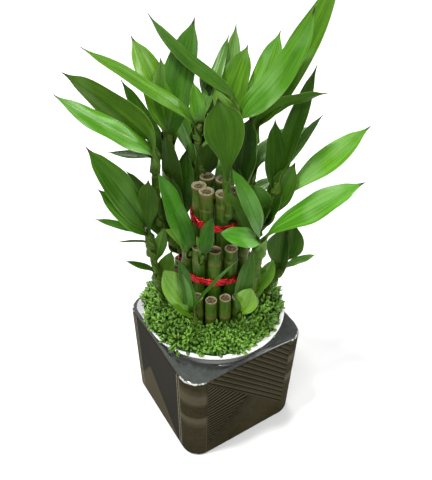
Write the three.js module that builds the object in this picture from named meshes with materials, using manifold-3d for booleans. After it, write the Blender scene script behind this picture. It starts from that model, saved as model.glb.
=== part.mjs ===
// Lucky bamboo in three tiers, tied with red foil. It stands in a white liner with a flat rim plate,
// in a square glazed pot, with moss round its foot.
// Millimetres and degrees. +Z is up, the origin is the middle of the pot's base, and the pot's
// sides face X and Y.
import * as THREE from 'three';
import { mergeVertices } from 'three/addons/utils/BufferGeometryUtils.js';
import Module from 'manifold-3d';

// ---- driving dimensions ---------------------------------------------------------------------

const GAP = 0.3;                    // clearance between pieces that touch

const POT_SIDE = 120;
const POT_CORNER_RADIUS = 18;
const POT_CORNER_HEIGHT = 106.7;    // the top is lowest at its four corners
const POT_MOUTH_RADIUS = 56.5;
const POT_MOUTH_HEIGHT = 109.3;     // and rises a little to its round mouth
const POT_FOOT_SCALE = 0.97;        // the sides draw in slightly towards the foot
const POT_WALL = 4.5;
const POT_FLOOR = 6;
const POT_DECK = 6;                 // thickness of the top round the mouth

const LINER_RIM_RADIUS = 62.4;
const LINER_RIM_BOTTOM = 121.3;
const LINER_RIM_TOP = 125.3;
const LINER_NECK_RADIUS = 47;       // the rim plate reaches well out from the liner under it
const LINER_FOOT_RADIUS = 44;
const LINER_WALL = 1.8;

const FILL_BORE = 39.9;             // the stalks stand in the middle of the growing medium
const MOSS_THICKNESS = 5.5;
const MOSS_EDGE_RADIUS = 63.6;

const INNER_STALK = { count: 6, radius: 5.3, footRing: 10.9, headRing: 12.2, leftward: 1.0 };
const MIDDLE_STALK = { count: 11, radius: 5.3, ring: 23.4, firstAngle: -90 };
const OUTER_STALK = { count: 19, radius: 4.8, ring: 34.4, firstAngle: -93.9 };
const NODE_SWELLING = 0.3;
const CUT_RECESS = 1.6;             // the pith has shrunk below the cut rim of each stalk

const PLANT_TURN = -32.5;           // how the bundle is turned in its pot

const BLADE_THICKNESS = 0.9;
const BLADE_STEPS = 6;
const BLADE_WIDEST = 0.4;           // where a leaf is widest, as a share of its length
const BLADE_NECK = 0.3;             // its width where it leaves the stem, as a share of its width
const BLADE_TIP = 0.8;
const BLADE_CHANNEL = 0.08;         // how far the edges stand above the midrib, as a share of width

// Heights in the rest of the file are above the pot's corners, where the plant group sits.
const STALK_FOOT = LINER_WALL + POT_FLOOR + 2 * GAP - POT_CORNER_HEIGHT;

// ---- materials ------------------------------------------------------------------------------

const finish = (color, roughness, metalness = 0) => ({ color, roughness, metalness });
const GLAZE = finish(0x3a352c, 0.18);
const WHITE_PLASTIC = finish(0xf2f0ea, 0.35);
const MEDIUM = finish(0x3b2a1c, 0.95);
const MOSS_GREEN = finish(0x4f8f25, 0.45);
const STALK_GREEN = finish(0x55701f, 0.5);
const LEAF_GREEN = finish(0x3f8a1f, 0.35);
const RED_FOIL = finish(0xb5121b, 0.3, 0.7);

// ---- solids ---------------------------------------------------------------------------------

const wasm = await Module();
wasm.setup();

const radians = THREE.MathUtils.degToRad;

function solidOf(geometry) {
  const bare = geometry.clone();
  bare.deleteAttribute('normal');
  bare.deleteAttribute('uv');
  const merged = mergeVertices(bare, 1e-3);
  const corners = merged.index.array;
  const kept = [];
  for (let i = 0; i < corners.length; i += 3) {
    const [a, b, c] = corners.slice(i, i + 3);
    if (a !== b && b !== c && c !== a) kept.push(a, b, c);
  }
  return new wasm.Manifold(new wasm.Mesh({
    numProp: 3,
    vertProperties: new Float32Array(merged.attributes.position.array),
    triVerts: new Uint32Array(kept),
  }));
}

function geometryOf(solid) {
  const mesh = solid.getMesh();
  const geometry = new THREE.BufferGeometry();
  geometry.setAttribute('position', new THREE.BufferAttribute(mesh.vertProperties, 3));
  geometry.setIndex(new THREE.BufferAttribute(mesh.triVerts, 1));
  geometry.computeVertexNormals();
  return geometry;
}

function piece(name, geometry, look) {
  const mesh = new THREE.Mesh(geometry, new THREE.MeshStandardMaterial(look));
  mesh.name = name;
  return mesh;
}

// A turned shape about the Z axis from a profile of [radius, height] points.
function turned(profile, segments) {
  const points = profile.map(([radius, height]) => new THREE.Vector2(radius, height));
  const closes = profile[0][0] === 0;
  if (!closes) points.push(points[0].clone());
  return new THREE.LatheGeometry(points, segments).rotateX(Math.PI / 2);
}

function roundedSquare(side, cornerRadius) {
  const half = side / 2;
  const straight = half - cornerRadius;
  const outline = new THREE.Shape();
  outline.moveTo(half, -straight);
  for (let corner = 0; corner < 4; corner += 1) {
    const start = corner * 90;
    const x = straight * Math.SQRT2 * Math.cos(radians(start + 45));
    const y = straight * Math.SQRT2 * Math.sin(radians(start + 45));
    outline.absarc(x, y, cornerRadius, radians(start), radians(start + 90));
  }
  outline.closePath();
  return outline;
}

// A block with a rounded square plan, drawn in towards its foot.
function taperedBlock(side, cornerRadius, bottom, top, bevel) {
  const geometry = new THREE.ExtrudeGeometry(roundedSquare(side - 2 * bevel, cornerRadius - bevel), {
    depth: top - bottom - 2 * bevel,
    bevelEnabled: bevel > 0,
    bevelThickness: bevel,
    bevelSize: bevel,
    bevelSegments: 2,
    curveSegments: 7,
  }).translate(0, 0, bottom + bevel);
  const position = geometry.attributes.position;
  for (let i = 0; i < position.count; i += 1) {
    const lift = position.getZ(i) / POT_CORNER_HEIGHT;
    const scale = POT_FOOT_SCALE + (1 - POT_FOOT_SCALE) * lift;
    position.setX(i, position.getX(i) * scale);
    position.setY(i, position.getY(i) * scale);
  }
  return geometry;
}

// ---- pot, liner, growing medium and moss ----------------------------------------------------

function potSolid() {
  const cornerReach = (POT_SIDE / 2 - POT_CORNER_RADIUS) * Math.SQRT2 + POT_CORNER_RADIUS;
  const deckSlope = (POT_MOUTH_HEIGHT - POT_CORNER_HEIGHT) / (cornerReach - POT_MOUTH_RADIUS);
  const beyond = cornerReach + 20;
  const deckAt = (radius) => POT_MOUTH_HEIGHT - deckSlope * (radius - POT_MOUTH_RADIUS);
  const deck = solidOf(turned([
    [0, -1],
    [beyond, -1],
    [beyond, deckAt(beyond)],
    [POT_MOUTH_RADIUS, POT_MOUTH_HEIGHT],
    [0, POT_MOUTH_HEIGHT],
  ], 40));
  const outside = solidOf(taperedBlock(POT_SIDE, POT_CORNER_RADIUS, 0, 2 * POT_CORNER_HEIGHT, 2.5));
  const room = solidOf(taperedBlock(
    POT_SIDE - 2 * POT_WALL,
    POT_CORNER_RADIUS - POT_WALL,
    POT_FLOOR,
    POT_CORNER_HEIGHT - POT_DECK,
    0,
  ));
  const mouth = solidOf(turned([
    [0, POT_FLOOR + 10],
    [POT_MOUTH_RADIUS - 1, POT_FLOOR + 10],
    [POT_MOUTH_RADIUS - 1, POT_MOUTH_HEIGHT - 2],
    [POT_MOUTH_RADIUS + 1, POT_MOUTH_HEIGHT + 1],
    [0, POT_MOUTH_HEIGHT + 1],
  ], 40));
  return outside.intersect(deck).subtract(room).subtract(mouth);
}

function linerGeometry() {
  const floor = POT_FLOOR + GAP;
  const brim = LINER_RIM_BOTTOM - GAP;
  return turned([
    [0, floor],
    [LINER_FOOT_RADIUS, floor],
    [LINER_NECK_RADIUS, brim],
    [LINER_NECK_RADIUS - LINER_WALL, brim],
    [LINER_FOOT_RADIUS - LINER_WALL, floor + LINER_WALL],
    [0, floor + LINER_WALL],
  ], 32);
}

// A flat ring that lies on the liner's brim and carries the moss.
function rimPlateGeometry() {
  const inside = LINER_NECK_RADIUS - LINER_WALL;
  return turned([
    [inside, LINER_RIM_BOTTOM],
    [LINER_RIM_RADIUS, LINER_RIM_BOTTOM],
    [LINER_RIM_RADIUS - 0.4, LINER_RIM_TOP],
    [inside, LINER_RIM_TOP],
  ], 32);
}

// Height of the moss over the pot's corners: it is heaped against the stalks and thins to the rim.
const MOSS_CROWN = [
  [FILL_BORE, 33.5],
  [45, 29.5],
  [52, 25.8],
  [58, 23],
  [62, 20.8],
];

// It fills the liner round the stalks and is heaped over the rim plate under the moss.
function mediumSolid() {
  const rim = LINER_RIM_TOP - POT_CORNER_HEIGHT + GAP;
  const wall = LINER_WALL + 0.5;
  const top = MOSS_CROWN.slice(0, 3).map(([radius, height]) => [radius, height - MOSS_THICKNESS - GAP]);
  return solidOf(turned([
    [FILL_BORE, STALK_FOOT],
    [LINER_FOOT_RADIUS - wall, STALK_FOOT],
    [LINER_NECK_RADIUS - wall, rim],
    [52, rim],
    ...top.reverse(),
  ], 24));
}

function mossSolid() {
  const rim = LINER_RIM_TOP - POT_CORNER_HEIGHT + GAP;
  const underside = MOSS_CROWN.slice(0, 3).map(([radius, height]) => [radius, height - MOSS_THICKNESS]);
  return solidOf(turned([
    ...underside,
    [56, rim],
    [MOSS_EDGE_RADIUS, rim],
    ...MOSS_CROWN.slice().reverse(),
  ], 30));
}

// ---- stalks ---------------------------------------------------------------------------------

// One cane: swollen rings where leaves once grew, and a sunken pith in the cut end.
function caneGeometry(radius, height, rings, flare = 0) {
  const swellings = rings.flatMap((at) => [
    [radius, at - 2],
    [radius + NODE_SWELLING, at],
    [radius, at + 1.5],
  ]);
  const head = radius + flare;
  return turned([
    [0, 0],
    [radius, 0],
    ...swellings,
    [head, height - 2],
    [head, height],
    [head * 0.72, height],
    [head * 0.66, height - CUT_RECESS],
    [0, height - CUT_RECESS],
  ], 8);
}

// A stalk stands from a point on its tier's foot ring to one on its head ring. Its room is the
// space that the shoots have to keep clear of.
function stalk(name, foot, head, radius, rings, flare) {
  const along = head.clone().sub(foot);
  const height = along.length();
  const reach = radius + Math.max(flare, NODE_SWELLING) + 1.2 * GAP;
  const lean = new THREE.Quaternion().setFromUnitVectors(
    new THREE.Vector3(0, 0, 1),
    along.clone().normalize(),
  );
  const placed = (geometry) => geometry.applyQuaternion(lean).translate(foot.x, foot.y, foot.z);
  const geometry = placed(caneGeometry(radius, height, rings.map((at) => at - foot.z), flare));
  const room = placed(turned([[0, 0], [reach, 0], [reach, height + GAP], [0, height + GAP]], 8));
  return { name, geometry, room };
}

function onRing(ring, degrees, height, shift = 0) {
  const angle = radians(degrees);
  return new THREE.Vector3(ring * Math.cos(angle) - shift, ring * Math.sin(angle), height);
}

function innerStalks() {
  const tops = [138.5, 141, 143.2, 141.6, 143.4, 141.5];
  return tops.map((top, i) => {
    const degrees = i * (360 / INNER_STALK.count);
    const foot = onRing(INNER_STALK.footRing, degrees, STALK_FOOT);
    const head = onRing(INNER_STALK.headRing, degrees, top, INNER_STALK.leftward);
    return stalk(`top_stalk_${i + 1}`, foot, head, INNER_STALK.radius, [38, 82, 125 + (i % 3) * 3], 0.6);
  });
}

function tierStalks(tier, name, tops, rings) {
  return Array.from({ length: tier.count }, (_, i) => {
    const degrees = tier.firstAngle + i * (360 / tier.count);
    const foot = onRing(tier.ring, degrees, STALK_FOOT);
    const head = onRing(tier.ring, degrees, tops[i % tops.length]);
    return stalk(`${name}_${i + 1}`, foot, head, tier.radius, rings, 0);
  });
}

const stalks = [
  ...innerStalks(),
  ...tierStalks(MIDDLE_STALK, 'middle_stalk', [98, 97, 95.5, 99, 96.5], [40, 86]),
  ...tierStalks(OUTER_STALK, 'outer_stalk', [55, 57, 54, 56, 53.5], [38]),
];

// ---- red ties -------------------------------------------------------------------------------

const TIE_HEIGHT = 7.6;
const TIE_THICKNESS = 2.2;
const LOWER_TIE = { inside: MIDDLE_STALK.ring + MIDDLE_STALK.radius + 0.5, height: 69.5, tilt: 0, shift: 0 };
const UPPER_TIE = { inside: 18.6, height: 114.2, tilt: 9, shift: 0.8 };

function tieGeometry({ inside, height, tilt, shift }, grow = 0) {
  const section = [
    [inside - grow, -TIE_HEIGHT / 2 - grow],
    [inside + TIE_THICKNESS + grow, -TIE_HEIGHT / 2 - grow],
    [inside + TIE_THICKNESS + grow, TIE_HEIGHT / 2 + grow],
    [inside - grow, TIE_HEIGHT / 2 + grow],
  ];
  return turned(section, 28).rotateY(radians(tilt)).translate(-shift, 0, height);
}

// ---- shoots: a stem with its leaves, grown from the side of a stalk ---------------------------

// The middle line of a leaf blade and the way it faces. Lift is its slope where it leaves the stem,
// droop how far it bends down on the way to its tip, and roll how far the blade is turned about its
// own length.
function bladeFrames(leaf, base, steps) {
  const { azimuth, lift, length, droop = 0, roll = 0 } = leaf;
  const heading = radians(azimuth);
  const place = base.clone();
  const frames = [];
  for (let i = 0; i <= steps; i += 1) {
    const along = (i + 0.5) / steps;
    const slope = radians(lift - droop * along);
    const ahead = new THREE.Vector3(
      Math.cos(heading) * Math.cos(slope),
      Math.sin(heading) * Math.cos(slope),
      Math.sin(slope),
    );
    const level = new THREE.Vector3(Math.sin(heading), -Math.cos(heading), 0);
    const side = level.applyAxisAngle(ahead, radians(roll));
    const face = new THREE.Vector3().crossVectors(side, ahead);
    frames.push({ place: place.clone(), side, face });
    place.addScaledVector(ahead, length / steps);
  }
  return frames;
}

// A blade that is widest further out has a longer, slimmer neck.
function bladeBreadth(along, widest = BLADE_WIDEST) {
  if (along < widest) {
    const neck = BLADE_NECK * Math.min(1, (BLADE_WIDEST / widest) ** 2);
    const swell = Math.sin((Math.PI / 2) * (along / widest)) ** ((widest / BLADE_WIDEST) ** 3);
    return neck + (1 - neck) * swell;
  }
  return Math.cos((Math.PI / 2) * ((along - widest) / (1 - widest)) ** 1.4);
}

// A four-sided rod pressed flat and bent along the blade's middle line.
function bladeGeometry(leaf, base, grow) {
  const rod = new THREE.CylinderGeometry(1, 1, 1, 4, BLADE_STEPS);
  const frames = bladeFrames(leaf, base, BLADE_STEPS);
  const position = rod.attributes.position;
  for (let i = 0; i < position.count; i += 1) {
    const across = position.getX(i);
    const over = position.getZ(i);
    const along = position.getY(i) + 0.5;
    const { place, side, face } = frames[Math.round(along * BLADE_STEPS)];
    const halfWidth = Math.max(leaf.width * bladeBreadth(along, leaf.widest), BLADE_TIP) / 2;
    const rise = BLADE_CHANNEL * 2 * halfWidth * Math.abs(across);
    const point = place.clone();
    point.addScaledVector(side, across * (halfWidth + grow));
    point.addScaledVector(face, over * (BLADE_THICKNESS / 2 + grow) + rise);
    position.setXYZ(i, point.x, point.y, point.z);
  }
  return rod;
}

function stemGeometry({ stem, girth }, grow) {
  const path = new THREE.CatmullRomCurve3(stem.map((point) => new THREE.Vector3(...point)));
  const section = new THREE.Shape();
  section.absarc(0, 0, girth / 2 + grow, 0, 2 * Math.PI);
  return new THREE.ExtrudeGeometry(section, {
    steps: 2 * stem.length,
    curveSegments: 3,
    bevelEnabled: false,
    extrudePath: path,
  });
}

function shootSolid(shoot, grow = 0) {
  const path = new THREE.CatmullRomCurve3(shoot.stem.map((point) => new THREE.Vector3(...point)));
  const blades = shoot.leaves.map((leaf) => solidOf(bladeGeometry(leaf, path.getPoint(leaf.at), grow)));
  return wasm.Manifold.union([solidOf(stemGeometry(shoot, grow)), ...blades]);
}

const SHOOTS = [
  // top tier
  {
    name: 'top_left_shoot',
    girth: 8,
    stem: [[-8, 12, 124], [-10, 17, 138], [-12, 17, 154], [-14, 13, 172], [-13, 9, 188]],
    leaves: [
      { at: 0.93, azimuth: 179, lift: 38, length: 97, width: 14, droop: 4, roll: -20 },
      { at: 0.98, azimuth: 122, lift: 80, length: 30, width: 12, droop: 10 },
      { at: 1.0, azimuth: 64, lift: 50, length: 68, width: 10, droop: 6 },
      { at: 0.86, azimuth: 57, lift: 69, length: 38, width: 11, droop: 4 },
      { at: 0.2, azimuth: -62, lift: 76, length: 43, width: 17, droop: 4, roll: -28 },
    ],
  },
  {
    name: 'top_front_shoot',
    girth: 7,
    stem: [
      [7, -11, 119],
      [10, -17, 126],
      [9.5, -15, 138],
      [7, -11, 152],
      [9, -5, 172],
      [13, 2, 190],
      [14, 10, 203],
    ],
    leaves: [
      { at: 0.4, azimuth: -62, lift: 90, length: 70, width: 29, droop: -30, roll: -38, widest: 0.66 },
      { at: 0.833, azimuth: 20, lift: 32, length: 95, width: 22, droop: -48, roll: 24, widest: 0.34 },
      { at: 1.0, azimuth: 154, lift: 20, length: 88, width: 12.5, droop: -32, roll: -20 },
      { at: 0.8, azimuth: 150, lift: 55, length: 33, width: 13, droop: -6, roll: -40 },
    ],
  },
  {
    name: 'top_right_shoot',
    girth: 8,
    stem: [[12, 2, 124], [20, 8, 136], [25, 10, 150], [27, 11, 168], [26, 13, 184]],
    leaves: [
      { at: 0.95, azimuth: -5, lift: 53, length: 60, width: 18, droop: 40, roll: -50 },
      { at: 0.95, azimuth: 29, lift: 47, length: 122, width: 25, droop: -26, roll: 20, widest: 0.32 },
      { at: 1.0, azimuth: 61, lift: 64, length: 69, width: 20, droop: 10 },
      { at: 0.12, azimuth: 7, lift: 88, length: 67, width: 22, droop: 10, roll: 55, widest: 0.5 },
      { at: 0.3, azimuth: 80, lift: 85, length: 27, width: 13, droop: 4 },
    ],
  },
  {
    name: 'top_back_shoot',
    girth: 7,
    stem: [[5, 11, 126], [8, 21, 140], [7, 26, 160], [6, 25, 185]],
    leaves: [
      { at: 0.94, azimuth: 78, lift: 68, length: 70, width: 14, droop: 4, roll: 10 },
      { at: 0.97, azimuth: 30, lift: 77, length: 56, width: 22, droop: 8, roll: 40 },
      { at: 0.7, azimuth: 135, lift: 63, length: 61, width: 18, droop: 6 },
    ],
  },
  // middle tier
  {
    name: 'upper_left_back_shoot',
    girth: 10,
    stem: [[-20, 12, 86], [-28, 14, 100], [-35, 12, 125], [-37, 14, 150], [-36, 17, 176]],
    leaves: [
      { at: 0.97, azimuth: 136, lift: 71, length: 75, width: 24, droop: 20, roll: -10 },
      { at: 0.94, azimuth: 56, lift: 72, length: 88, width: 25, droop: 10, roll: 20 },
      { at: 1.0, azimuth: 106, lift: 75, length: 53, width: 19, droop: 14 },
      { at: 0.72, azimuth: 150, lift: 63, length: 74, width: 15, droop: 10, roll: -10 },
      { at: 0.3, azimuth: 68, lift: 73, length: 56, width: 15, droop: 4 },
      { at: 0.2, azimuth: 3, lift: 86, length: 65, width: 17, droop: 0, roll: 65 },
      { at: 0.3, azimuth: -121, lift: 82, length: 82, width: 15, droop: 4, roll: 25 },
    ],
  },
  {
    name: 'upper_left_shoot',
    girth: 8,
    stem: [[-22, -2, 78], [-31, -4, 86], [-41, -6, 105], [-45, -6, 135], [-43, -4, 172]],
    leaves: [
      { at: 1.0, azimuth: 176, lift: 51, length: 82, width: 24, droop: 17, roll: 80 },
      { at: 0.96, azimuth: -171, lift: 34, length: 83, width: 18, droop: -10, roll: -30 },
      { at: 0.95, azimuth: -170, lift: 12, length: 35, width: 9, droop: -8, roll: -10 },
      { at: 0.62, azimuth: -175, lift: 63, length: 45, width: 12, droop: 4, roll: -20 },
      { at: 0.3, azimuth: 90, lift: 83, length: 58, width: 20, droop: 4 },
      { at: 0.3, azimuth: -175, lift: 54, length: 49, width: 11, droop: 6, roll: -35 },
    ],
  },
  {
    name: 'front_left_leaf_shoot',
    girth: 6,
    stem: [[-20, -10, 84], [-20, -17, 88], [-19, -21, 94]],
    leaves: [
      { at: 1.0, azimuth: -177, lift: 73, length: 76, width: 22, droop: 0, roll: -30 },
      { at: 0.9, azimuth: -169, lift: 67, length: 32, width: 9, droop: 30, roll: -40 },
    ],
  },
  {
    name: 'front_bud_shoot',
    girth: 5,
    stem: [[-12, -19, 84], [-11, -26, 88], [-9, -29, 97]],
    leaves: [
      { at: 1.0, azimuth: 35, lift: 76, length: 34, width: 12, droop: 0, roll: 20 },
      { at: 0.9, azimuth: 140, lift: 70, length: 18, width: 6, droop: 0 },
    ],
  },
  {
    name: 'upper_right_shoot',
    girth: 8,
    stem: [[22, 3, 82], [31, 2, 94], [40, 2, 108], [44, 4, 124], [46, 8, 142]],
    leaves: [
      { at: 0.25, azimuth: 8, lift: 62, length: 71, width: 20, droop: -10, roll: 60, widest: 0.62 },
      { at: 0.7, azimuth: 6, lift: 43, length: 95, width: 22, droop: -4, roll: 20, widest: 0.55 },
      { at: 0.9, azimuth: 48, lift: 70, length: 96, width: 16, droop: 6 },
      { at: 0.84, azimuth: 97, lift: 74, length: 58, width: 17, droop: 6 },
      { at: 1.0, azimuth: 20, lift: 60, length: 60, width: 12, droop: 6 },
      { at: 0.42, azimuth: -150, lift: 75, length: 45, width: 21, droop: 0, roll: 62 },
      { at: 0.3, azimuth: -25, lift: 63, length: 48, width: 16, droop: -8, roll: 40, widest: 0.55 },
      { at: 0.12, azimuth: -34, lift: 62, length: 46, width: 14, droop: -8, roll: 40, widest: 0.55 },
      { at: 0.06, azimuth: -119, lift: 65, length: 77, width: 15, droop: 0, roll: 20 },
    ],
  },
  // outer tier
  {
    name: 'low_left_shoot',
    girth: 7,
    stem: [[-33, -6, 8], [-38, -7, 18], [-44, -10, 36], [-48, -15.5, 70], [-51, -16.5, 108]],
    throughMoss: true,
    leaves: [
      { at: 1.0, azimuth: -169, lift: 65, length: 86, width: 23, droop: 2, roll: -50 },
      { at: 0.97, azimuth: -161, lift: 56, length: 61, width: 20, droop: 0, roll: -50 },
      { at: 0.98, azimuth: -167, lift: 29, length: 45, width: 8, droop: 0, roll: -20 },
      { at: 0.96, azimuth: -69, lift: 86, length: 59, width: 15, droop: 8, roll: -35, widest: 0.6 },
      { at: 0.72, azimuth: -158, lift: 42, length: 31, width: 6, droop: 5, roll: -30 },
      { at: 0.92, azimuth: -165, lift: 27, length: 27, width: 3, droop: 20 },
      { at: 0.5, azimuth: -30, lift: 85, length: 56, width: 15, droop: 14, roll: -60 },
      { at: 0.75, azimuth: -3, lift: 74, length: 45, width: 12, droop: -10, roll: -70 },
    ],
  },
  {
    name: 'low_front_left_shoot',
    girth: 5.5,
    stem: [[-14, -32, 34], [-16, -41, 41], [-18, -44, 50]],
    leaves: [
      { at: 1.0, azimuth: -174, lift: 59, length: 52, width: 20, droop: -16, roll: -50, widest: 0.52 },
      { at: 0.7, azimuth: -135, lift: 54, length: 34, width: 12, droop: 6, roll: -30 },
      { at: 1.0, azimuth: 145, lift: 78, length: 39, width: 7, droop: 0, roll: -30 },
      { at: 0.9, azimuth: 150, lift: 78, length: 54, width: 13, droop: 0, roll: -10 },
      { at: 0.95, azimuth: 0, lift: 67, length: 68, width: 3, droop: 18, roll: 30 },
    ],
  },
  {
    name: 'low_front_right_shoot',
    girth: 5.5,
    stem: [[19, -29, 34], [21, -39, 40], [21, -42, 48]],
    leaves: [
      { at: 1.0, azimuth: 25, lift: 83, length: 62, width: 14, droop: 0, roll: 40 },
      { at: 0.9, azimuth: -36, lift: 71, length: 36, width: 18, droop: -8, roll: 100, widest: 0.5 },
    ],
  },
  {
    name: 'low_right_shoot',
    girth: 11,
    stem: [[27, -22, 36], [30, -28, 46], [30, -29, 65], [32, -27, 88], [35, -24, 108]],
    leaves: [
      { at: 1.0, azimuth: -2, lift: 45, length: 88, width: 22, droop: 12, roll: 25, widest: 0.52 },
      { at: 0.97, azimuth: 174, lift: 77, length: 70, width: 16, droop: 16, roll: -35 },
      { at: 0.96, azimuth: -151, lift: 30, length: 44, width: 16, droop: -8, roll: -40 },
      { at: 0.4, azimuth: 8, lift: 57, length: 40, width: 13, droop: -20, roll: 60 },
      { at: 0.25, azimuth: -112, lift: 84, length: 64, width: 12, droop: 0, roll: 30 },
      { at: 0.15, azimuth: -20, lift: 75, length: 44, width: 10, droop: 0, roll: -60 },
    ],
  },
  {
    name: 'low_right_back_shoot',
    girth: 7,
    stem: [[34, 1, 10], [40, 3, 20], [47, 4, 36], [58, 3, 58]],
    throughMoss: true,
    leaves: [
      { at: 1.0, azimuth: -5, lift: 36, length: 31, width: 8, droop: 4, roll: 20 },
      { at: 0.9, azimuth: -115, lift: 81, length: 54, width: 25, droop: -10, roll: 58, widest: 0.6 },
      { at: 1.0, azimuth: -10, lift: 76, length: 48, width: 20, droop: -14, roll: 70, widest: 0.6 },
      { at: 0.75, azimuth: -13, lift: 81, length: 57, width: 15, droop: 0, roll: 70 },
    ],
  },
  // the side away from the room
  {
    name: 'back_left_shoot',
    girth: 7,
    stem: [[-9, 21, 80], [-12, 31, 92], [-16, 40, 112], [-18, 46, 136]],
    leaves: [
      { at: 1.0, azimuth: 120, lift: 54, length: 84, width: 22, droop: 30 },
      { at: 0.85, azimuth: 70, lift: 50, length: 58, width: 18, droop: 26 },
      { at: 0.6, azimuth: 150, lift: 48, length: 56, width: 14, droop: 24 },
      { at: 0.06, azimuth: 60, lift: 83, length: 46, width: 18, droop: 0 },
    ],
  },
  {
    name: 'back_right_shoot',
    girth: 7,
    stem: [[15, 17, 80], [21, 26, 92], [27, 34, 112], [30, 38, 134]],
    leaves: [
      { at: 1.0, azimuth: 35, lift: 38, length: 64, width: 22, droop: 36 },
      { at: 0.85, azimuth: 112, lift: 50, length: 52, width: 18, droop: 26 },
      { at: 0.6, azimuth: 21, lift: 34, length: 38, width: 14, droop: 20 },
      { at: 0.06, azimuth: 120, lift: 83, length: 46, width: 18, droop: 0 },
    ],
  },
  {
    name: 'low_back_shoot',
    girth: 7,
    stem: [[3, 34, 36], [4, 46, 46], [5, 52, 62], [5, 56, 82]],
    leaves: [
      { at: 1.0, azimuth: 80, lift: 59, length: 70, width: 20, droop: 34 },
      { at: 0.8, azimuth: 140, lift: 50, length: 52, width: 15, droop: 20 },
      { at: 0.6, azimuth: 35, lift: 50, length: 46, width: 13, droop: 20 },
      { at: 0.08, azimuth: 109, lift: 78, length: 79, width: 18, droop: 0 },
    ],
  },
];

// ---- assembly -------------------------------------------------------------------------------

const rooms = stalks.map(({ room }) => solidOf(room));
const tied = [LOWER_TIE, UPPER_TIE].map((tie) => solidOf(tieGeometry(tie, GAP)));
const kept = wasm.Manifold.union([...rooms, ...tied]);

// The largest body that is left of a solid after something was cut away from it.
function mainBody(solid) {
  return solid.decompose().reduce((a, b) => (b.volume() > a.volume() ? b : a));
}

const stemsInMoss = wasm.Manifold.union(
  SHOOTS.filter((shoot) => shoot.throughMoss).map((shoot) => solidOf(stemGeometry(shoot, GAP))),
);

const plant = new THREE.Group();
plant.position.z = POT_CORNER_HEIGHT;
plant.rotation.z = radians(PLANT_TURN);
plant.add(piece('growing_medium', geometryOf(mediumSolid().subtract(stemsInMoss)), MEDIUM));
plant.add(piece('moss_mat', geometryOf(mossSolid().subtract(stemsInMoss)), MOSS_GREEN));
plant.add(piece('lower_red_tie', tieGeometry(LOWER_TIE), RED_FOIL));
plant.add(piece('upper_red_tie', tieGeometry(UPPER_TIE), RED_FOIL));
for (const { name, geometry } of stalks) plant.add(piece(name, geometry, STALK_GREEN));
for (const shoot of SHOOTS) {
  const trimmed = mainBody(shootSolid(shoot).subtract(kept));
  plant.add(piece(shoot.name, geometryOf(trimmed), LEAF_GREEN));
}

const part = new THREE.Group();
part.add(piece('square_pot', geometryOf(potSolid()), GLAZE));
part.add(piece('white_liner', linerGeometry(), WHITE_PLASTIC));
part.add(piece('white_rim_plate', rimPlateGeometry(), WHITE_PLASTIC));
part.add(plant);
part.updateMatrixWorld(true);

export default part;
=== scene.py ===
import math
import random

import bmesh
import bpy
import numpy as np
from mathutils import Matrix, Vector, noise


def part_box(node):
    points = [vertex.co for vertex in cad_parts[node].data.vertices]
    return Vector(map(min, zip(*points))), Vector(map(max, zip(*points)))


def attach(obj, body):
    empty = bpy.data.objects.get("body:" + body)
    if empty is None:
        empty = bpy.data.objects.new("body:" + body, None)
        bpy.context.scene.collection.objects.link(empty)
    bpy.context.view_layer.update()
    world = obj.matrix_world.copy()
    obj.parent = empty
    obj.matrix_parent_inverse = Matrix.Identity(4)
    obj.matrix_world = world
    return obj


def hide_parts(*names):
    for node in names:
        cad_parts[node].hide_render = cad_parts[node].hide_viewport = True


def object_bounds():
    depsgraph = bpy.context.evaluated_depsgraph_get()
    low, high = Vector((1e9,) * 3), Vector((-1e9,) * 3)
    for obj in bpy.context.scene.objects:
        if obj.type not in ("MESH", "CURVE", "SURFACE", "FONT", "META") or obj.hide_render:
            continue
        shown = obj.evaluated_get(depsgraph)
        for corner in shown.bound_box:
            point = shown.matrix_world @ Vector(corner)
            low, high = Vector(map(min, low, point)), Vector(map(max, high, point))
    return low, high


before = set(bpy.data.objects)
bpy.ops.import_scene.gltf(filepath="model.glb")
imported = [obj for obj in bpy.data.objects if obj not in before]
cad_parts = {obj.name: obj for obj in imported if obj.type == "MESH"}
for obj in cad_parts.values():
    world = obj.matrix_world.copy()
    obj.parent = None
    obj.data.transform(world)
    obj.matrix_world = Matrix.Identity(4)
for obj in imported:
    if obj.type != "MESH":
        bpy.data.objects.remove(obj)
cad_low, cad_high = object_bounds()

# ---- view ---------------------------------------------------------------------------------------
# The plant is seen from its front, which is turned away from the sides of its pot, and from well
# above its leaves.

MM = 0.001
PLANT_TURN = math.radians(-32.5)
VIEW_PLACE = (-190.8, -300.6, 476.2)
VIEW_DOWN = 38.22                   # degrees that the view looks down
VIEW_LEAN = 1.09                    # and leans to one side
LENS = 41.85

camera_data = bpy.data.cameras.new("view")
camera_data.sensor_width = 36
camera_data.lens = LENS
camera = bpy.data.objects.new("view", camera_data)
camera.location = tuple(along * MM for along in VIEW_PLACE)
pitch = Matrix.Rotation(math.radians(90 - VIEW_DOWN), 3, "X")
lean = Matrix.Rotation(math.radians(VIEW_LEAN), 3, "Z")
camera.rotation_euler = (Matrix.Rotation(PLANT_TURN, 3, "Z") @ pitch @ lean).to_euler()
bpy.context.collection.objects.link(camera)
bpy.context.scene.camera = camera

# ---- room ---------------------------------------------------------------------------------------
# A plain white studio floor under a pale surround. One broad overhead light does most of the work,
# and three soft boxes put highlights on the glaze and the leaves.

ROOM_SIZE = 12.0
OVERHEAD_FROM = (-0.35, 0.10, 1.0)
SOFT_BOXES = {
    # name: place, aimed at, width, height, watts
    "right_box": ((0.75, -0.55, 1.15), (0, 0, 0.2), 0.35, 0.5, 7),
    "front_strip": ((-0.41, -0.66, 1.05), (0, 0, 0.12), 1.2, 0.08, 7),
    "back_box": ((0.35, 0.95, 0.9), (0, 0, 0.12), 0.6, 0.35, 8),
}


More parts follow.
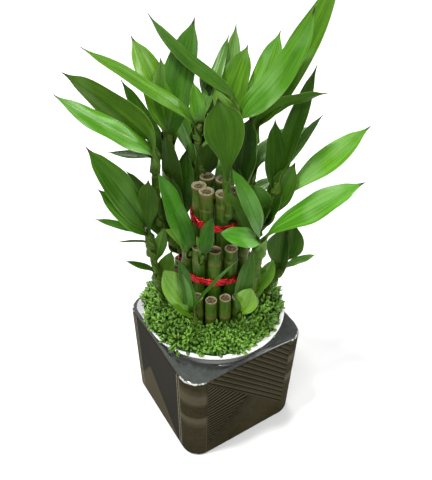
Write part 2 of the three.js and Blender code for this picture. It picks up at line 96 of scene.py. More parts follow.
def aimed(place, target):
    return (Vector(target) - Vector(place)).to_track_quat("-Z", "Y").to_euler()


overhead = bpy.data.lights.new("overhead", "SUN")
overhead.angle = math.radians(8)
overhead.energy = 2.85
overhead_lamp = bpy.data.objects.new("overhead", overhead)
overhead_lamp.rotation_euler = aimed(OVERHEAD_FROM, (0, 0, 0))
bpy.context.collection.objects.link(overhead_lamp)
for name, (place, target, width, height, watts) in SOFT_BOXES.items():
    box_light = bpy.data.lights.new(name, "AREA")
    box_light.shape = "RECTANGLE"
    box_light.size, box_light.size_y = width, height
    box_light.energy = watts
    lamp = bpy.data.objects.new(name, box_light)
    lamp.location = place
    lamp.rotation_euler = aimed(place, target)
    bpy.context.collection.objects.link(lamp)

world = bpy.data.worlds.new("studio")
world.use_nodes = True
world.node_tree.nodes["Background"].inputs["Color"].default_value = (1, 1, 1, 1)
world.node_tree.nodes["Background"].inputs["Strength"].default_value = 0.28
bpy.context.scene.world = world
bpy.context.scene.view_settings.view_transform = "Standard"

floor_mesh = bpy.data.meshes.new("floor")
corners = [(x * ROOM_SIZE / 2, y * ROOM_SIZE / 2, 0) for x, y in ((-1, -1), (1, -1), (1, 1), (-1, 1))]
floor_mesh.from_pydata(corners, [], [(0, 1, 2, 3)])
floor = bpy.data.objects.new("floor", floor_mesh)
floor.location.z = cad_low.z - 0.2 * MM
bpy.context.collection.objects.link(floor)
floor_paint = bpy.data.materials.new("floor_paint")
floor_paint.use_nodes = True
floor_sockets = floor_paint.node_tree.nodes["Principled BSDF"].inputs
floor_sockets["Base Color"].default_value = (0.87, 0.87, 0.87, 1)
floor_sockets["Roughness"].default_value = 0.9
floor_mesh.materials.append(floor_paint)

# ---- pot ----------------------------------------------------------------------------------------
# The pot is slip-cast stoneware: a square box with rounded corners, closed at the top by a deck that
# slopes up to a round mouth. Rows of straight lines are cut into the clay of its four sides, and a
# dark olive glaze covers it all. Light and shade are painted into the glaze colour: painted shade in
# the grooves and the seams and over two of the sides, painted highlights on the ridges, beside the
# seams and in broken glints along the edges of the deck and round the mouth, and painted reflections
# that make a triangle on two of the sides, bands on the corners and the whole deck paler.

POT_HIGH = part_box("square_pot")[1]
POT_HALF = POT_HIGH.x / MM
POT_CORNER_RADIUS = 18
POT_CORNER_HEIGHT = 106.7
POT_MOUTH_HEIGHT = POT_HIGH.z / MM
POT_MOUTH_RADIUS = 56.5
POT_FOOT_SCALE = 0.97
POT_EDGE = 3.0                      # rounding of the top edge
POT_DECK_DIP = 1.3                  # how far the deck sags between its edge and the mouth
POT_CUT_DEPTH = 0.45                # depth of the engraved lines
POT_ROW = 0.62                      # height of one row of points on the wall
POT_FOOT_TOP = 2.6                  # where the rounded foot ends and the flat wall begins
PANEL_HALF = 42                     # half the width of the engraved part of a side
PANEL_TOP = 104
SPLIT_HEIGHT = 60                   # where the two diagonals of the pattern cross the middle of a side
BROAD_SPACING = 4.7
LEVEL_SPACING = 3.9
LEVEL_FAN = ((55, 0.02), (100, 0.38))   # height on a side, and how steeply a level line rises there
RISING_SPACING = 2.4
FAINT_SIDES = 0.25                  # how deep the lines are on two of the sides, as a share of the others
SEAM_AT = 39.9                      # where an upright groove closes the panel on those two sides
# The pale triangle on the two faintly lined sides is a painted reflection.
WEDGE_FALL = (41, 37)               # the pale triangle fades out over these heights along its right edge
WEDGE_CLIMB = (84, 80)              # and over these along its steeper left edge
WEDGE_STEEPNESS = 1.45


class Nodes:
    """Adds nodes to a tree. An input may be a number, a colour or another node's output."""

    def __init__(self, tree):
        self.tree = tree

    def add(self, kind, inputs=None, **settings):
        node = self.tree.nodes.new(kind)
        for name, value in settings.items():
            setattr(node, name, value)
        for name, value in (inputs or {}).items():
            self.put(value, node.inputs[name])
        return node

    def put(self, value, socket):
        if isinstance(value, bpy.types.NodeSocket):
            self.tree.links.new(value, socket)
        else:
            socket.default_value = value

    def math(self, operation, *values):
        return self.add("ShaderNodeMath", dict(enumerate(values)), operation=operation).outputs[0]

    def vector_math(self, operation, first, second):
        return self.add("ShaderNodeVectorMath", {0: first, 1: second}, operation=operation).outputs[0]

    def mix(self, factor, first, second, blend="MIX"):
        inputs = {0: factor, 6: first, 7: second}
        return self.add("ShaderNodeMix", inputs, data_type="RGBA", blend_type=blend).outputs[2]

    def remap(self, value, low, high, to_low=0.0, to_high=1.0):
        inputs = {0: value, 1: low, 2: high, 3: to_low, 4: to_high}
        return self.add("ShaderNodeMapRange", inputs).outputs[0]

    def noise(self, vector, scale, detail=3.0, roughness=0.55):
        inputs = {"Vector": vector, "Scale": scale, "Detail": detail, "Roughness": roughness}
        return self.add("ShaderNodeTexNoise", inputs).outputs["Fac"]

    def stretched(self, vector, scale):
        return self.add("ShaderNodeMapping", {"Vector": vector, "Scale": scale}).outputs[0]

    def attribute(self, name):
        return self.add("ShaderNodeAttribute", attribute_name=name).outputs["Fac"]

    def place(self):
        return self.add("ShaderNodeTexCoord").outputs["Object"]

    def group(self, tree, inputs):
        node = self.tree.nodes.new("ShaderNodeGroup")
        node.node_tree = tree
        for name, value in inputs.items():
            self.put(value, node.inputs[name])
        return node

    def bump(self, height, strength, distance):
        inputs = {"Height": height, "Strength": strength, "Distance": distance}
        return self.add("ShaderNodeBump", inputs).outputs[0]


class Finish(Nodes):
    """A new material and its nodes."""

    def __init__(self, name):
        self.material = bpy.data.materials.new(name)
        self.material.use_nodes = True
        super().__init__(self.material.node_tree)
        self.shader = self.tree.nodes["Principled BSDF"]

    def mottled(self, place, cloud_scale, grain_scale):
        inputs = {"Vector": place, "Cloud scale": cloud_scale, "Grain scale": grain_scale}
        return self.group(MOTTLE, inputs).outputs["Mask"]

    def surface(self, **inputs):
        for name, value in inputs.items():
            self.put(value, self.shader.inputs[name.replace("_", " ")])
        return self.material


def new_group(name, inputs, outputs):
    """A shader node group, with the nodes that hold its inputs and outputs."""
    tree = bpy.data.node_groups.new(name, "ShaderNodeTree")
    for socket, kind in inputs.items():
        tree.interface.new_socket(socket, in_out="INPUT", socket_type=kind)
    for socket, kind in outputs.items():
        tree.interface.new_socket(socket, in_out="OUTPUT", socket_type=kind)
    nodes = Nodes(tree)
    return tree, nodes, nodes.add("NodeGroupInput").outputs, nodes.add("NodeGroupOutput").inputs


def mottle_group():
    """Cloudy and fine variation in one mask, for glaze, bark and leaves."""
    tree, nodes, given, out = new_group(
        "mottle",
        {"Vector": "NodeSocketVector", "Cloud scale": "NodeSocketFloat", "Grain scale": "NodeSocketFloat"},
        {"Mask": "NodeSocketFloat"},
    )
    cloud = nodes.noise(given["Vector"], given["Cloud scale"])
    grain = nodes.noise(given["Vector"], given["Grain scale"], detail=2.0)
    blend = nodes.math("ADD", nodes.math("MULTIPLY", cloud, 0.7), nodes.math("MULTIPLY", grain, 0.3))
    nodes.put(nodes.remap(blend, 0.36, 0.64), out["Mask"])
    return tree


MOTTLE = mottle_group()


def smooth(value, low, high):
    """Rises smoothly from 0 at low to 1 at high."""
    share = np.clip((value - low) / (high - low), 0, 1)
    return share * share * (3 - 2 * share)


def place_points(points, turn=0.0, lift=0.0):
    """Points in millimetres, turned about the upright axis and lifted, in metres."""
    x, y, z = np.asarray(points, float).T
    c, s = math.cos(turn), math.sin(turn)
    return np.stack([c * x - s * y, s * x + c * y, z + lift], 1) * MM


def sheet_faces(rows, columns):
    """Quads between rows of points. Each row closes on itself."""
    faces = []
    for row in range(rows - 1):
        for column in range(columns):
            right = (column + 1) % columns
            a, b = row * columns + column, row * columns + right
            faces.append((a, b, b + columns, a + columns))
    return faces


def face_outwards(mesh):
    shell = bmesh.new()
    shell.from_mesh(mesh)
    bmesh.ops.recalc_face_normals(shell, faces=shell.faces)
    shell.to_mesh(mesh)
    shell.free()


def made(name, points, faces, *materials, slot, replaces=(), looks=None):
    """A finished piece that stands still with the pot."""
    mesh = bpy.data.meshes.new(name)
    mesh.from_pydata([tuple(point) for point in points], [], faces)
    for material in materials:
        mesh.materials.append(material)
    if looks is not None:
        mesh.polygons.foreach_set("material_index", looks)
    face_outwards(mesh)
    mesh.polygons.foreach_set("use_smooth", [True] * len(mesh.polygons))
    piece = bpy.data.objects.new(name, mesh)
    bpy.context.collection.objects.link(piece)
    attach(piece, "root")
    if replaces:
        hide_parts(*replaces)
    return piece


def point_values(piece, name, values):
    """A number for each point of a piece, for its material to read."""
    layer = piece.data.attributes.new(name, "FLOAT", "POINT")
    layer.data.foreach_set("value", np.asarray(values, np.float32).ravel())


def add_uv(piece, name, first, second):
    """A UV map from two numbers for each point of a piece."""
    layer = piece.data.uv_layers.new(name=name)
    corners = np.empty(len(piece.data.loops), int)
    piece.data.loops.foreach_get("vertex_index", corners)
    pairs = np.stack([np.asarray(first)[corners], np.asarray(second)[corners]], 1)
    layer.data.foreach_set("uv", pairs.astype(np.float32).ravel())


def pot_columns():
    """Round the pot's wall: x and y on the wall, the outward direction, and the place along its side."""
    straight = POT_HALF - POT_CORNER_RADIUS
    columns = []
    for side in range(4):
        turn = math.radians(90 * side)
        out = np.array([math.cos(turn), math.sin(turn)])
        on = np.array([-math.sin(turn), math.cos(turn)])
        for u in np.arange(-straight, straight, 0.7 if side % 2 else 1.4):
            columns.append((*(out * POT_HALF + on * u), *out, u, 1.0 if side % 2 else FAINT_SIDES))
        for step in range(12):
            angle = turn + math.radians(90 * step / 12)
            outward = np.array([math.cos(angle), math.sin(angle)])
            corner = (out + on) * straight + outward * POT_CORNER_RADIUS
            columns.append((*corner, *outward, 0.0, 0.0))
    return np.array(columns)


def cut_line(distance, spacing, share):
    """1 in the middle of each line of a row of parallel lines, 0 on the clay between them."""
    phase = (distance / spacing) % 1
    return 0.5 + 0.5 * np.cos(np.clip(np.abs(phase - 0.5) / share, 0, 1) * math.pi)


def engraving(u, z):
    """Lines cut into a side: broad ones that fall to the right above a diagonal, level ones in the
    triangle under it, and close ones that rise to the right and die away."""
    above = (u + z - SPLIT_HEIGHT) / math.sqrt(2)
    left = (z - u - SPLIT_HEIGHT) / math.sqrt(2)
    broad = cut_line(above, BROAD_SPACING, 0.42)
    level = cut_line(z - np.interp(z, *zip(*LEVEL_FAN)) * (u + PANEL_HALF), LEVEL_SPACING, 0.5)
    rising = cut_line(-left, RISING_SPACING, 0.5) * smooth(-left, 15, 3) * 0.7
    lines = np.where(above > 0, broad, np.where(left > 0, level, rising))
    inside = smooth(PANEL_HALF - np.abs(u), 0, 1.0) * smooth(z, 3, 8) * smooth(PANEL_TOP - z, 0, 2.5)
    return lines * inside


def pot_deck_height(radius):
    corner_reach = (POT_HALF - POT_CORNER_RADIUS) * math.sqrt(2) + POT_CORNER_RADIUS
    slope = (POT_MOUTH_HEIGHT - POT_CORNER_HEIGHT) / (corner_reach - POT_MOUTH_RADIUS)
    return POT_MOUTH_HEIGHT - slope * (radius - POT_MOUTH_RADIUS)


def pot_rows():
    """Every row of the pot from the middle of its foot, up its sides, over the deck and into the mouth,
    and how far each point is engraved, lies on the deck, or is on a rounded edge."""
    columns = pot_columns()
    wall, out = columns[:, :2], columns[:, 2:4]
    u, strength = columns[:, 4], columns[:, 5]
    # The painted glints on the rounded edges are strongest on the corners.
    sharp = np.where(strength == 0, 1.0, 0.45)
    rim_height = pot_deck_height(np.hypot(*wall.T))
    mouth = wall / np.hypot(*wall.T)[:, None] * POT_MOUTH_RADIUS
    rows = []
    looks = []

    def row(xy, z, engraved=0.0, deck=0.0, edge=0.0):
        rows.append(np.column_stack([xy, np.broadcast_to(z, len(xy))]))
        corner = (strength == 0) * float(0 < engraved)
        looks.append(np.column_stack([strength * engraved, np.full(len(xy), deck), sharp * edge, corner]))

    def wall_scale(z):
        return POT_FOOT_SCALE + (1 - POT_FOOT_SCALE) * np.clip(z / POT_CORNER_HEIGHT, 0, 1)

    row(wall * 0.02, 0.0)
    for inset, z in ((3.2, 0.0), (2.2, 0.05), (1.2, 0.4), (0.5, 1.1), (0.1, 2.0)):
        row((wall - out * inset) * wall_scale(0), z)
    for share in np.linspace(0, 1, round(POT_CORNER_HEIGHT / POT_ROW)):
        z = POT_FOOT_TOP + (rim_height - POT_EDGE - POT_FOOT_TOP) * share
        cut = engraving(u, z) * strength * POT_CUT_DEPTH
        row((wall - out * cut[:, None]) * wall_scale(z)[:, None], z, engraved=float(share > 0.015))
    for step in range(1, 9):
        angle = math.radians(90 * step / 8)
        inset = out * POT_EDGE * (1 - math.cos(angle))
        z = rim_height - POT_EDGE * (1 - math.sin(angle))
        row(wall - inset, z, engraved=float(step < 3), deck=float(step > 3), edge=math.sin(2 * angle) ** 2)
    inner = wall - out * POT_EDGE
    for share in np.linspace(0, 1, 14)[1:-1]:
        xy = inner * (1 - share) + mouth * share
        z = pot_deck_height(np.hypot(*xy.T)) - POT_DECK_DIP * math.sin(math.pi * share ** 1.6)
        row(xy, z, deck=1.0)
    # The rounding into the mouth carries painted glints too.
    for step in range(0, 5):
        angle = math.radians(90 * step / 4)
        z = POT_MOUTH_HEIGHT - 1.2 * (1 - math.cos(angle))
        row(mouth * (1 - 0.02 * math.sin(angle)), z, deck=1.0, edge=0.7 * math.cos(angle))
    for z in (104, 98, 60, 16):
        row(mouth * 0.98, z)
    row(mouth * 0.02, 15)
    return np.concatenate(rows), np.concatenate(looks), len(rows)


def engraving_group():
    """The same lines as a mask, sharper than the mesh can carry them. Side holds the place along a
    side and its height, both in millimetres."""
    tree, nodes, given, out = new_group(
        "engraved_lines",
        {"Side": "NodeSocketVector"},
        {
            "Groove": "NodeSocketFloat",
            "Ridge highlight": "NodeSocketFloat",
            "Seam": "NodeSocketFloat",
            "Lip": "NodeSocketFloat",
            "Wedge": "NodeSocketFloat",
        },
    )
    u, z, _ = nodes.add("ShaderNodeSeparateXYZ", {0: given["Side"]}).outputs

    def line(distance, spacing, low, high):
        phase = nodes.math("FRACT", nodes.math("DIVIDE", distance, spacing))
        off_middle = nodes.math("ABSOLUTE", nodes.math("SUBTRACT", phase, 0.5))
        return nodes.remap(off_middle, high, low), phase

    def past_diagonal(height):
        return nodes.math("DIVIDE", nodes.math("SUBTRACT", height, SPLIT_HEIGHT), math.sqrt(2))

    rise = past_diagonal(nodes.math("ADD", z, u))
    left = past_diagonal(nodes.math("SUBTRACT", z, u))
    above = nodes.math("GREATER_THAN", rise, 0.0)
    beside = nodes.math("GREATER_THAN", left, 0.0)
    broad, across = line(rise, BROAD_SPACING, 0.06, 0.20)
    (low, shallow), (high, steep) = LEVEL_FAN
    steepness = nodes.remap(z, low, high, shallow, steep)
    fan = nodes.math("MULTIPLY", steepness, nodes.math("ADD", u, PANEL_HALF))
    level, _ = line(nodes.math("SUBTRACT", z, fan), LEVEL_SPACING, 0.16, 0.34)
    fine, _ = line(left, RISING_SPACING, 0.12, 0.30)
    fine = nodes.math("MULTIPLY", fine, nodes.remap(left, -16.0, -2.0, 0.0, 0.75))
    lower = nodes.add("ShaderNodeMix", {0: beside, 2: fine, 3: level}).outputs[0]
    nodes.put(nodes.add("ShaderNodeMix", {0: above, 2: lower, 3: broad}).outputs[0], out["Groove"])
    # Painted highlight: the ridges between the level lines, brighter higher up, and one side of each broad
    # line.
    crest = nodes.math("MULTIPLY", nodes.math("SUBTRACT", 1.0, level), nodes.remap(z, 20.0, 95.0, 0.15, 1.0))
    crest = nodes.math("MULTIPLY", crest, beside)
    sloped = nodes.math("MULTIPLY", across, 0.7)
    nodes.put(nodes.add("ShaderNodeMix", {0: above, 2: crest, 3: sloped}).outputs[0], out["Ridge highlight"])
    past_seam = nodes.math("SUBTRACT", nodes.math("ABSOLUTE", u), SEAM_AT)
    nodes.put(nodes.remap(nodes.math("ABSOLUTE", past_seam), 0.9, 0.5), out["Seam"])
    # Lip marks where a painted highlight runs beside the seam.
    beside_seam = nodes.math("ABSOLUTE", nodes.math("SUBTRACT", nodes.math("ABSOLUTE", past_seam), 1.5))
    nodes.put(nodes.remap(beside_seam, 0.9, 0.4), out["Lip"])
    # Painted reflection: a pale triangle low on the side.
    falling = nodes.remap(nodes.math("ADD", z, u), *WEDGE_FALL)
    climbing = nodes.remap(nodes.math("MULTIPLY_ADD", u, -WEDGE_STEEPNESS, z), *WEDGE_CLIMB)
    nodes.put(nodes.math("MULTIPLY", falling, climbing), out["Wedge"])
    return tree


ENGRAVED = engraving_group()

pot_points, pot_looks, pot_levels = pot_rows()
around = len(pot_points) // pot_levels
pot_faces = sheet_faces(pot_levels, around)
pot_faces.append(tuple(range(around))[::-1])
pot_faces.append(tuple(range((pot_levels - 1) * around, pot_levels * around)))

glaze = Finish("olive_glaze")
where = glaze.place()
side = glaze.add("ShaderNodeUVMap", uv_map="side").outputs[0]
engraved = glaze.group(ENGRAVED, {"Side": side}).outputs
groove = glaze.math("MULTIPLY", engraved["Groove"], glaze.attribute("engraved"))
mottled = glaze.mottled(where, 14.0, 260.0)
clay = glaze.mix(mottled, (0.017, 0.014, 0.005, 1), (0.040, 0.033, 0.015, 1))
# Painted highlight on the ridges between the engraved lines.
painted_ridge_light = glaze.math("MULTIPLY", engraved["Ridge highlight"], glaze.attribute("engraved"))
clay = glaze.mix(painted_ridge_light, clay, (0.066, 0.056, 0.028, 1))
# Painted shade: the grooves are darkened in the colour.
clay = glaze.mix(groove, clay, (0.007, 0.006, 0.003, 1))
# Painted reflection: the deck is coloured a paler blue-grey than the sides.
painted_deck_reflection = glaze.mix(mottled, (0.036, 0.040, 0.037, 1), (0.076, 0.082, 0.076, 1))
clay = glaze.mix(glaze.attribute("deck"), clay, painted_deck_reflection)
ripple = glaze.noise(where, 55.0, detail=2.0)
lumpy = glaze.remap(glaze.attribute("deck"), 0, 1, 0.2, 1.0)
lumps = glaze.math("MULTIPLY", glaze.noise(where, 170.0, detail=1.0), lumpy)
faint = glaze.math("COMPARE", glaze.attribute("engraved"), FAINT_SIDES, 0.1)
# Painted shade: the two faintly lined sides are darkened.
clay = glaze.mix(glaze.math("MULTIPLY", faint, 0.7), clay, (0.013, 0.012, 0.010, 1))
# Painted reflection: a pale olive triangle on the two faintly lined sides.
painted_reflection_wedge = glaze.math("MULTIPLY", faint, engraved["Wedge"])
clay = glaze.mix(glaze.math("MULTIPLY", painted_reflection_wedge, 0.6), clay, (0.084, 0.070, 0.036, 1))
# Painted reflection: pale level bands on the rounded corners.
painted_corner_reflections = glaze.remap(glaze.noise(glaze.stretched(where, (3, 3, 42)), 1.0, detail=1.0), 0.53, 0.61, 0, 0.42)
clay = glaze.mix(glaze.math("MULTIPLY", glaze.attribute("corner"), painted_corner_reflections), clay, (0.130, 0.115, 0.072, 1))
seam = glaze.math("MULTIPLY", engraved["Seam"], faint)
# Painted highlight: a pale line beside the seam groove.
clay = glaze.mix(glaze.math("MULTIPLY", engraved["Lip"], faint), clay, (0.170, 0.150, 0.095, 1))
# Painted shade: the upright seam groove is darkened.
clay = glaze.mix(seam, clay, (0.005, 0.004, 0.002, 1))
# Painted highlight: broken pale glints along the rounded edges of the deck and round the mouth.
painted_edge_glints = glaze.math("MULTIPLY", glaze.attribute("edge"), glaze.noise(where, 330.0, detail=2.0))
clay = glaze.mix(glaze.remap(painted_edge_glints, 0.38, 0.52), clay, (0.520, 0.530, 0.490, 1))
sunken = glaze.math("MAXIMUM", groove, seam)
relief = glaze.math("SUBTRACT", glaze.math("MULTIPLY_ADD", ripple, 0.4, lumps), sunken)
glaze.surface(
    Base_Color=clay,
    Roughness=glaze.remap(mottled, 0, 1, 0.05, 0.12),
    Specular_IOR_Level=0.0,
    Coat_Weight=glaze.remap(glaze.attribute("deck"), 0, 1, 0.06, 0.9),
    Coat_Roughness=0.05,
    Normal=glaze.bump(relief, 0.8, 0.0006),
)
pot = made(
    "pot",
    place_points(pot_points),
    pot_faces,
    glaze.material,
    slot="pot_glaze",
    replaces=["square_pot"],
)
add_uv(pot, "side", np.tile(pot_columns()[:, 4], pot_levels), pot_points[:, 2])
for column, name in enumerate(("engraved", "deck", "edge", "corner")):
    point_values(pot, name, pot_looks[:, column])

# ---- liner --------------------------------------------------------------------------------------
# A white plastic liner stands inside the pot, and a flat ring of the same plastic lies on its brim.
# Both are smooth turned shapes, and only a shaded band of the liner shows under the ring.

RIM_LOW, RIM_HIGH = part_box("white_rim_plate")
LINER_LOW, LINER_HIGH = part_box("white_liner")
RIM_RADIUS = RIM_HIGH.x / MM
RIM_BOTTOM, RIM_TOP = RIM_LOW.z / MM, RIM_HIGH.z / MM
LINER_FOOT, LINER_BRIM = LINER_LOW.z / MM, LINER_HIGH.z / MM
LINER_NECK_RADIUS = LINER_HIGH.x / MM
LINER_FOOT_RADIUS = 44
LINER_WALL = 1.8


def turned(profile, segments):
    """Points and faces of a closed shape turned about the upright axis. A radius of 0 is a pole."""
    points = []
    faces = []
    rings = []
    angles = np.linspace(0, 2 * math.pi, segments, endpoint=False)
    for radius, height in profile:
        if radius == 0:
            rings.append([len(points)] * segments)
            points.append((0, 0, height))
        else:
            rings.append(range(len(points), len(points) + segments))
            points += [(radius * math.cos(a), radius * math.sin(a), height) for a in angles]
    closes = profile[0][0] != 0
    pairs = zip(rings, rings[1:] + rings[:1]) if closes else zip(rings, rings[1:])
    for low, high in pairs:
        for i in range(segments):
            j = (i + 1) % segments
            corners = [low[i], low[j], high[j], high[i]]
            faces.append(tuple(dict.fromkeys(corners)))
    return points, faces


plastic = Finish("white_plastic")
scuffs = plastic.mottled(plastic.place(), 30.0, 700.0)
white = plastic.mix(scuffs, (0.80, 0.80, 0.76, 1), (0.88, 0.88, 0.86, 1))
plastic.surface(
    Base_Color=white,
    Roughness=plastic.remap(scuffs, 0, 1, 0.28, 0.4),
    Subsurface_Weight=0.05,
    Normal=plastic.bump(scuffs, 0.05, 0.0005),
)
RIM_PROFILE = [
    (LINER_NECK_RADIUS - LINER_WALL, RIM_BOTTOM),
    (RIM_RADIUS - 0.8, RIM_BOTTOM),
    (RIM_RADIUS - 0.2, RIM_BOTTOM + 0.3),
    (RIM_RADIUS, RIM_BOTTOM + 0.9),
    (RIM_RADIUS - 0.1, RIM_TOP - 1.4),
    (RIM_RADIUS - 0.5, RIM_TOP - 0.5),
    (RIM_RADIUS - 1.5, RIM_TOP),
    (LINER_NECK_RADIUS - LINER_WALL, RIM_TOP),
]
LINER_PROFILE = [
    (0, LINER_FOOT),
    (LINER_FOOT_RADIUS - 2, LINER_FOOT),
    (LINER_FOOT_RADIUS, LINER_FOOT + 2),
    (LINER_NECK_RADIUS - 0.5, LINER_BRIM - 16),
    (LINER_NECK_RADIUS, LINER_BRIM),
    (LINER_NECK_RADIUS - LINER_WALL, LINER_BRIM),
    (LINER_FOOT_RADIUS - LINER_WALL, LINER_FOOT + LINER_WALL),
    (0, LINER_FOOT + LINER_WALL),
]
for name, profile, segments in (("rim_plate", RIM_PROFILE, 128), ("liner", LINER_PROFILE, 96)):
    points, faces = turned(profile, segments)
    made(
        name,
        place_points(points),
        faces,
        plastic.material,
        slot="liner_plastic",
        replaces=[f"white_{name}"],
    )

# ---- growing medium -----------------------------------------------------------------------------
# Dark crumbly fill packed round the stalks and heaped over the rim under the moss. Its top is
# rough; the rest follows the liner.

MEDIUM_LOW, MEDIUM_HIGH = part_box("growing_medium")
FILL_BORE = 39.9
MOSS_CROWN = [(FILL_BORE, 33.5), (45, 29.5), (52, 25.8), (58, 23), (62, 20.8)]
MOSS_THICKNESS = 5.5
PLANT_LIFT = POT_CORNER_HEIGHT


def in_plant(points):
    """Points in the plant's own frame, moved to their place over the pot."""
    return place_points(points, PLANT_TURN, PLANT_LIFT)


ROUGHNESS_SEED = 7                  # fixed, so the crumbs, moss and stalks take one shape only
noise.seed_set(ROUGHNESS_SEED)


def roughened(points, scale, amount, seed=0):
    """Points moved outwards and inwards by noise, in millimetres."""
    shift = Vector((seed * 7.1, seed * 3.3, 0))
    moved = [Vector(p) + noise.noise_vector(Vector(p) / scale + shift) * amount for p in points]
    return np.array(moved)


medium_top = [(r, h - MOSS_THICKNESS - 0.3 + PLANT_LIFT) for r, h in MOSS_CROWN[:3]]
medium_wall = LINER_WALL + 0.5
medium_profile = [
    (FILL_BORE, MEDIUM_LOW.z / MM),
    (LINER_FOOT_RADIUS - medium_wall, MEDIUM_LOW.z / MM),
    (LINER_NECK_RADIUS - medium_wall, RIM_TOP),
    (52, RIM_TOP + 0.3),
]
for (r0, h0), (r1, h1) in zip(medium_top[::-1], medium_top[-2::-1]):
    for share in np.linspace(0, 1, 6, endpoint=False):
        medium_profile.append((r0 + (r1 - r0) * share, h0 + (h1 - h0) * share))
medium_profile.append(medium_top[0])
points, faces = turned(medium_profile, 120)
points = np.array(points)
heaped = roughened(points, 2.2, 0.9)
top = (points[:, 2] > RIM_TOP + 1)[:, None]
points = np.where(top, np.minimum(heaped, [1e9, 1e9, MEDIUM_HIGH.z / MM + 0.4]), points)
fibre = Finish("coir")
crumbs = fibre.mottled(fibre.place(), 120.0, 900.0)
strand = fibre.noise(fibre.stretched(fibre.place(), (1, 1, 6)), 300.0)
brown = fibre.mix(crumbs, (0.012, 0.009, 0.006, 1), (0.06, 0.04, 0.022, 1))
brown = fibre.mix(fibre.remap(strand, 0.6, 0.75), brown, (0.13, 0.085, 0.045, 1))
fibre.surface(Base_Color=brown, Roughness=0.95, Normal=fibre.bump(crumbs, 0.9, 0.0012))
made(
    "growing_medium_fill",
    place_points(points),
    faces,
    fibre.material,
    slot="growing_medium",
    replaces=["growing_medium"],
)

# ---- stalks -------------------------------------------------------------------------------------
# Thirty-six lengths of cane stand in three rings, each ring cut off higher than the one outside it.
# Each cane is round, with the swollen scars of old leaves, and ends in a dried cut: a pale rim of
# bark round sunken pith.

CUT_RECESS = 1.6
STALK_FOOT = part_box("outer_stalk_1")[0].z / MM - PLANT_LIFT
STALK_SIDES = 28
STALK_TIERS = {
    # name: count, radius, foot ring, head ring, first angle, shift at the top, flare, tops, scars
    "top_stalk": (6, 5.3, 10.9, 12.2, 0, 1.0, 0.6, (138.5, 141, 143.2, 141.6, 143.4, 141.5), (38, 82, 125)),
    "middle_stalk": (11, 5.3, 23.4, 23.4, -90, 0, 0, (98, 97, 95.5, 99, 96.5), (40, 86)),
    "outer_stalk": (19, 4.8, 34.4, 34.4, -93.9, 0, 0, (55, 57, 54, 56, 53.5), (38,)),
}

bark = Finish("cane_bark")
where = bark.place()
streaks = bark.noise(bark.stretched(where, (1, 1, 0.06)), 520.0)
patches = bark.mottled(where, 60.0, 380.0)
green = bark.mix(patches, (0.012, 0.048, 0.002, 1), (0.045, 0.118, 0.005, 1))
green = bark.mix(bark.remap(streaks, 0.45, 0.75, 0, 0.6), green, (0.100, 0.168, 0.010, 1))
stain = bark.remap(bark.noise(bark.stretched(where, (1, 1, 0.5)), 95.0, detail=4.0), 0.58, 0.72)
green = bark.mix(bark.math("MULTIPLY", stain, 0.75), green, (0.088, 0.068, 0.015, 1))
green = bark.mix(bark.math("MULTIPLY", bark.attribute("stain"), patches), green, (0.106, 0.134, 0.018, 1))
green = bark.mix(bark.attribute("scar"), green, (0.118, 0.102, 0.032, 1))
wood_grain = bark.noise(where, 900.0)
crinkled = bark.noise(where, 480.0, detail=5.0, roughness=0.7)
pith = bark.mix(bark.remap(crinkled, 0.38, 0.6), (0.016, 0.010, 0.005, 1), (0.125, 0.094, 0.046, 1))
pale = bark.mix(bark.remap(crinkled, 0.35, 0.62), (0.120, 0.104, 0.050, 1), (0.320, 0.290, 0.185, 1))
cut_tone = bark.attribute("cut")
cane_color = bark.mix(bark.remap(cut_tone, 0.1, 0.4), green, pale)
cane_color = bark.mix(bark.remap(cut_tone, 0.6, 0.9), cane_color, pith)
bark.surface(
    Base_Color=cane_color,
    Roughness=bark.remap(cut_tone, 0, 0.5, 0.42, 0.85),
    Specular_IOR_Level=0.12,
    Normal=bark.bump(bark.math("ADD", streaks, wood_grain), 0.35, 0.0008),
)


def cane_profile(height, radius, scars, flare, chance):
    """Radius, height, scar and cut values from the foot of a cane to the middle of its cut end."""
    rows = [(0, 0, 0, 0), (radius, 0, 0, 0)]
    stops = list(np.linspace(6, height - 6, 14))
    for scar in scars:
        stops += [scar + step for step in (-3.2, -1.8, -0.9, -0.35, 0, 0.35, 0.9, 1.8)]
    taper = chance.uniform(-0.15, 0.1)
    for z in sorted(stop for stop in stops if stop < height - 3):
        ring = sum(math.exp(-((z - scar) / 1.1) ** 2) for scar in scars)
        lip = sum(math.exp(-((z - scar - 0.2) / 0.3) ** 2) for scar in scars)
        around = radius * (1 + 0.02 * math.sin(z / 9)) + taper * z / height + 0.3 * ring - 0.16 * lip
        rows.append((around, z, min(1, lip + 0.35 * ring), 0))
    head = radius + flare
    rows += [
        (head - 0.1, height - 2.4, 0.35 if flare else 0.1, 0),
        (head + 0.05, height - 1.2, 0.75 if flare else 0.3, 0),
        (head - 0.05, height - 0.4, 0.9, 0.15),
        (head - 0.35, height, 0.9, 0.4),
        (head * 0.86, height + 0.1, 0, 0.45),
        (head * 0.80, height - 0.25, 0, 0.55),
        (head * 0.76, height - 0.8, 0, 0.7),
        (head * 0.66, height - 0.7 if flare else height - CUT_RECESS * 0.8, 0, 0.6 if flare else 1),
        (head * 0.56, height - CUT_RECESS, 0, 1),
        (head * 0.36, height - CUT_RECESS + 0.2, 0, 0.9),
        (head * 0.16, height - CUT_RECESS, 0, 1),
        (0, height - CUT_RECESS + 0.1, 0, 1),
    ]
    return rows


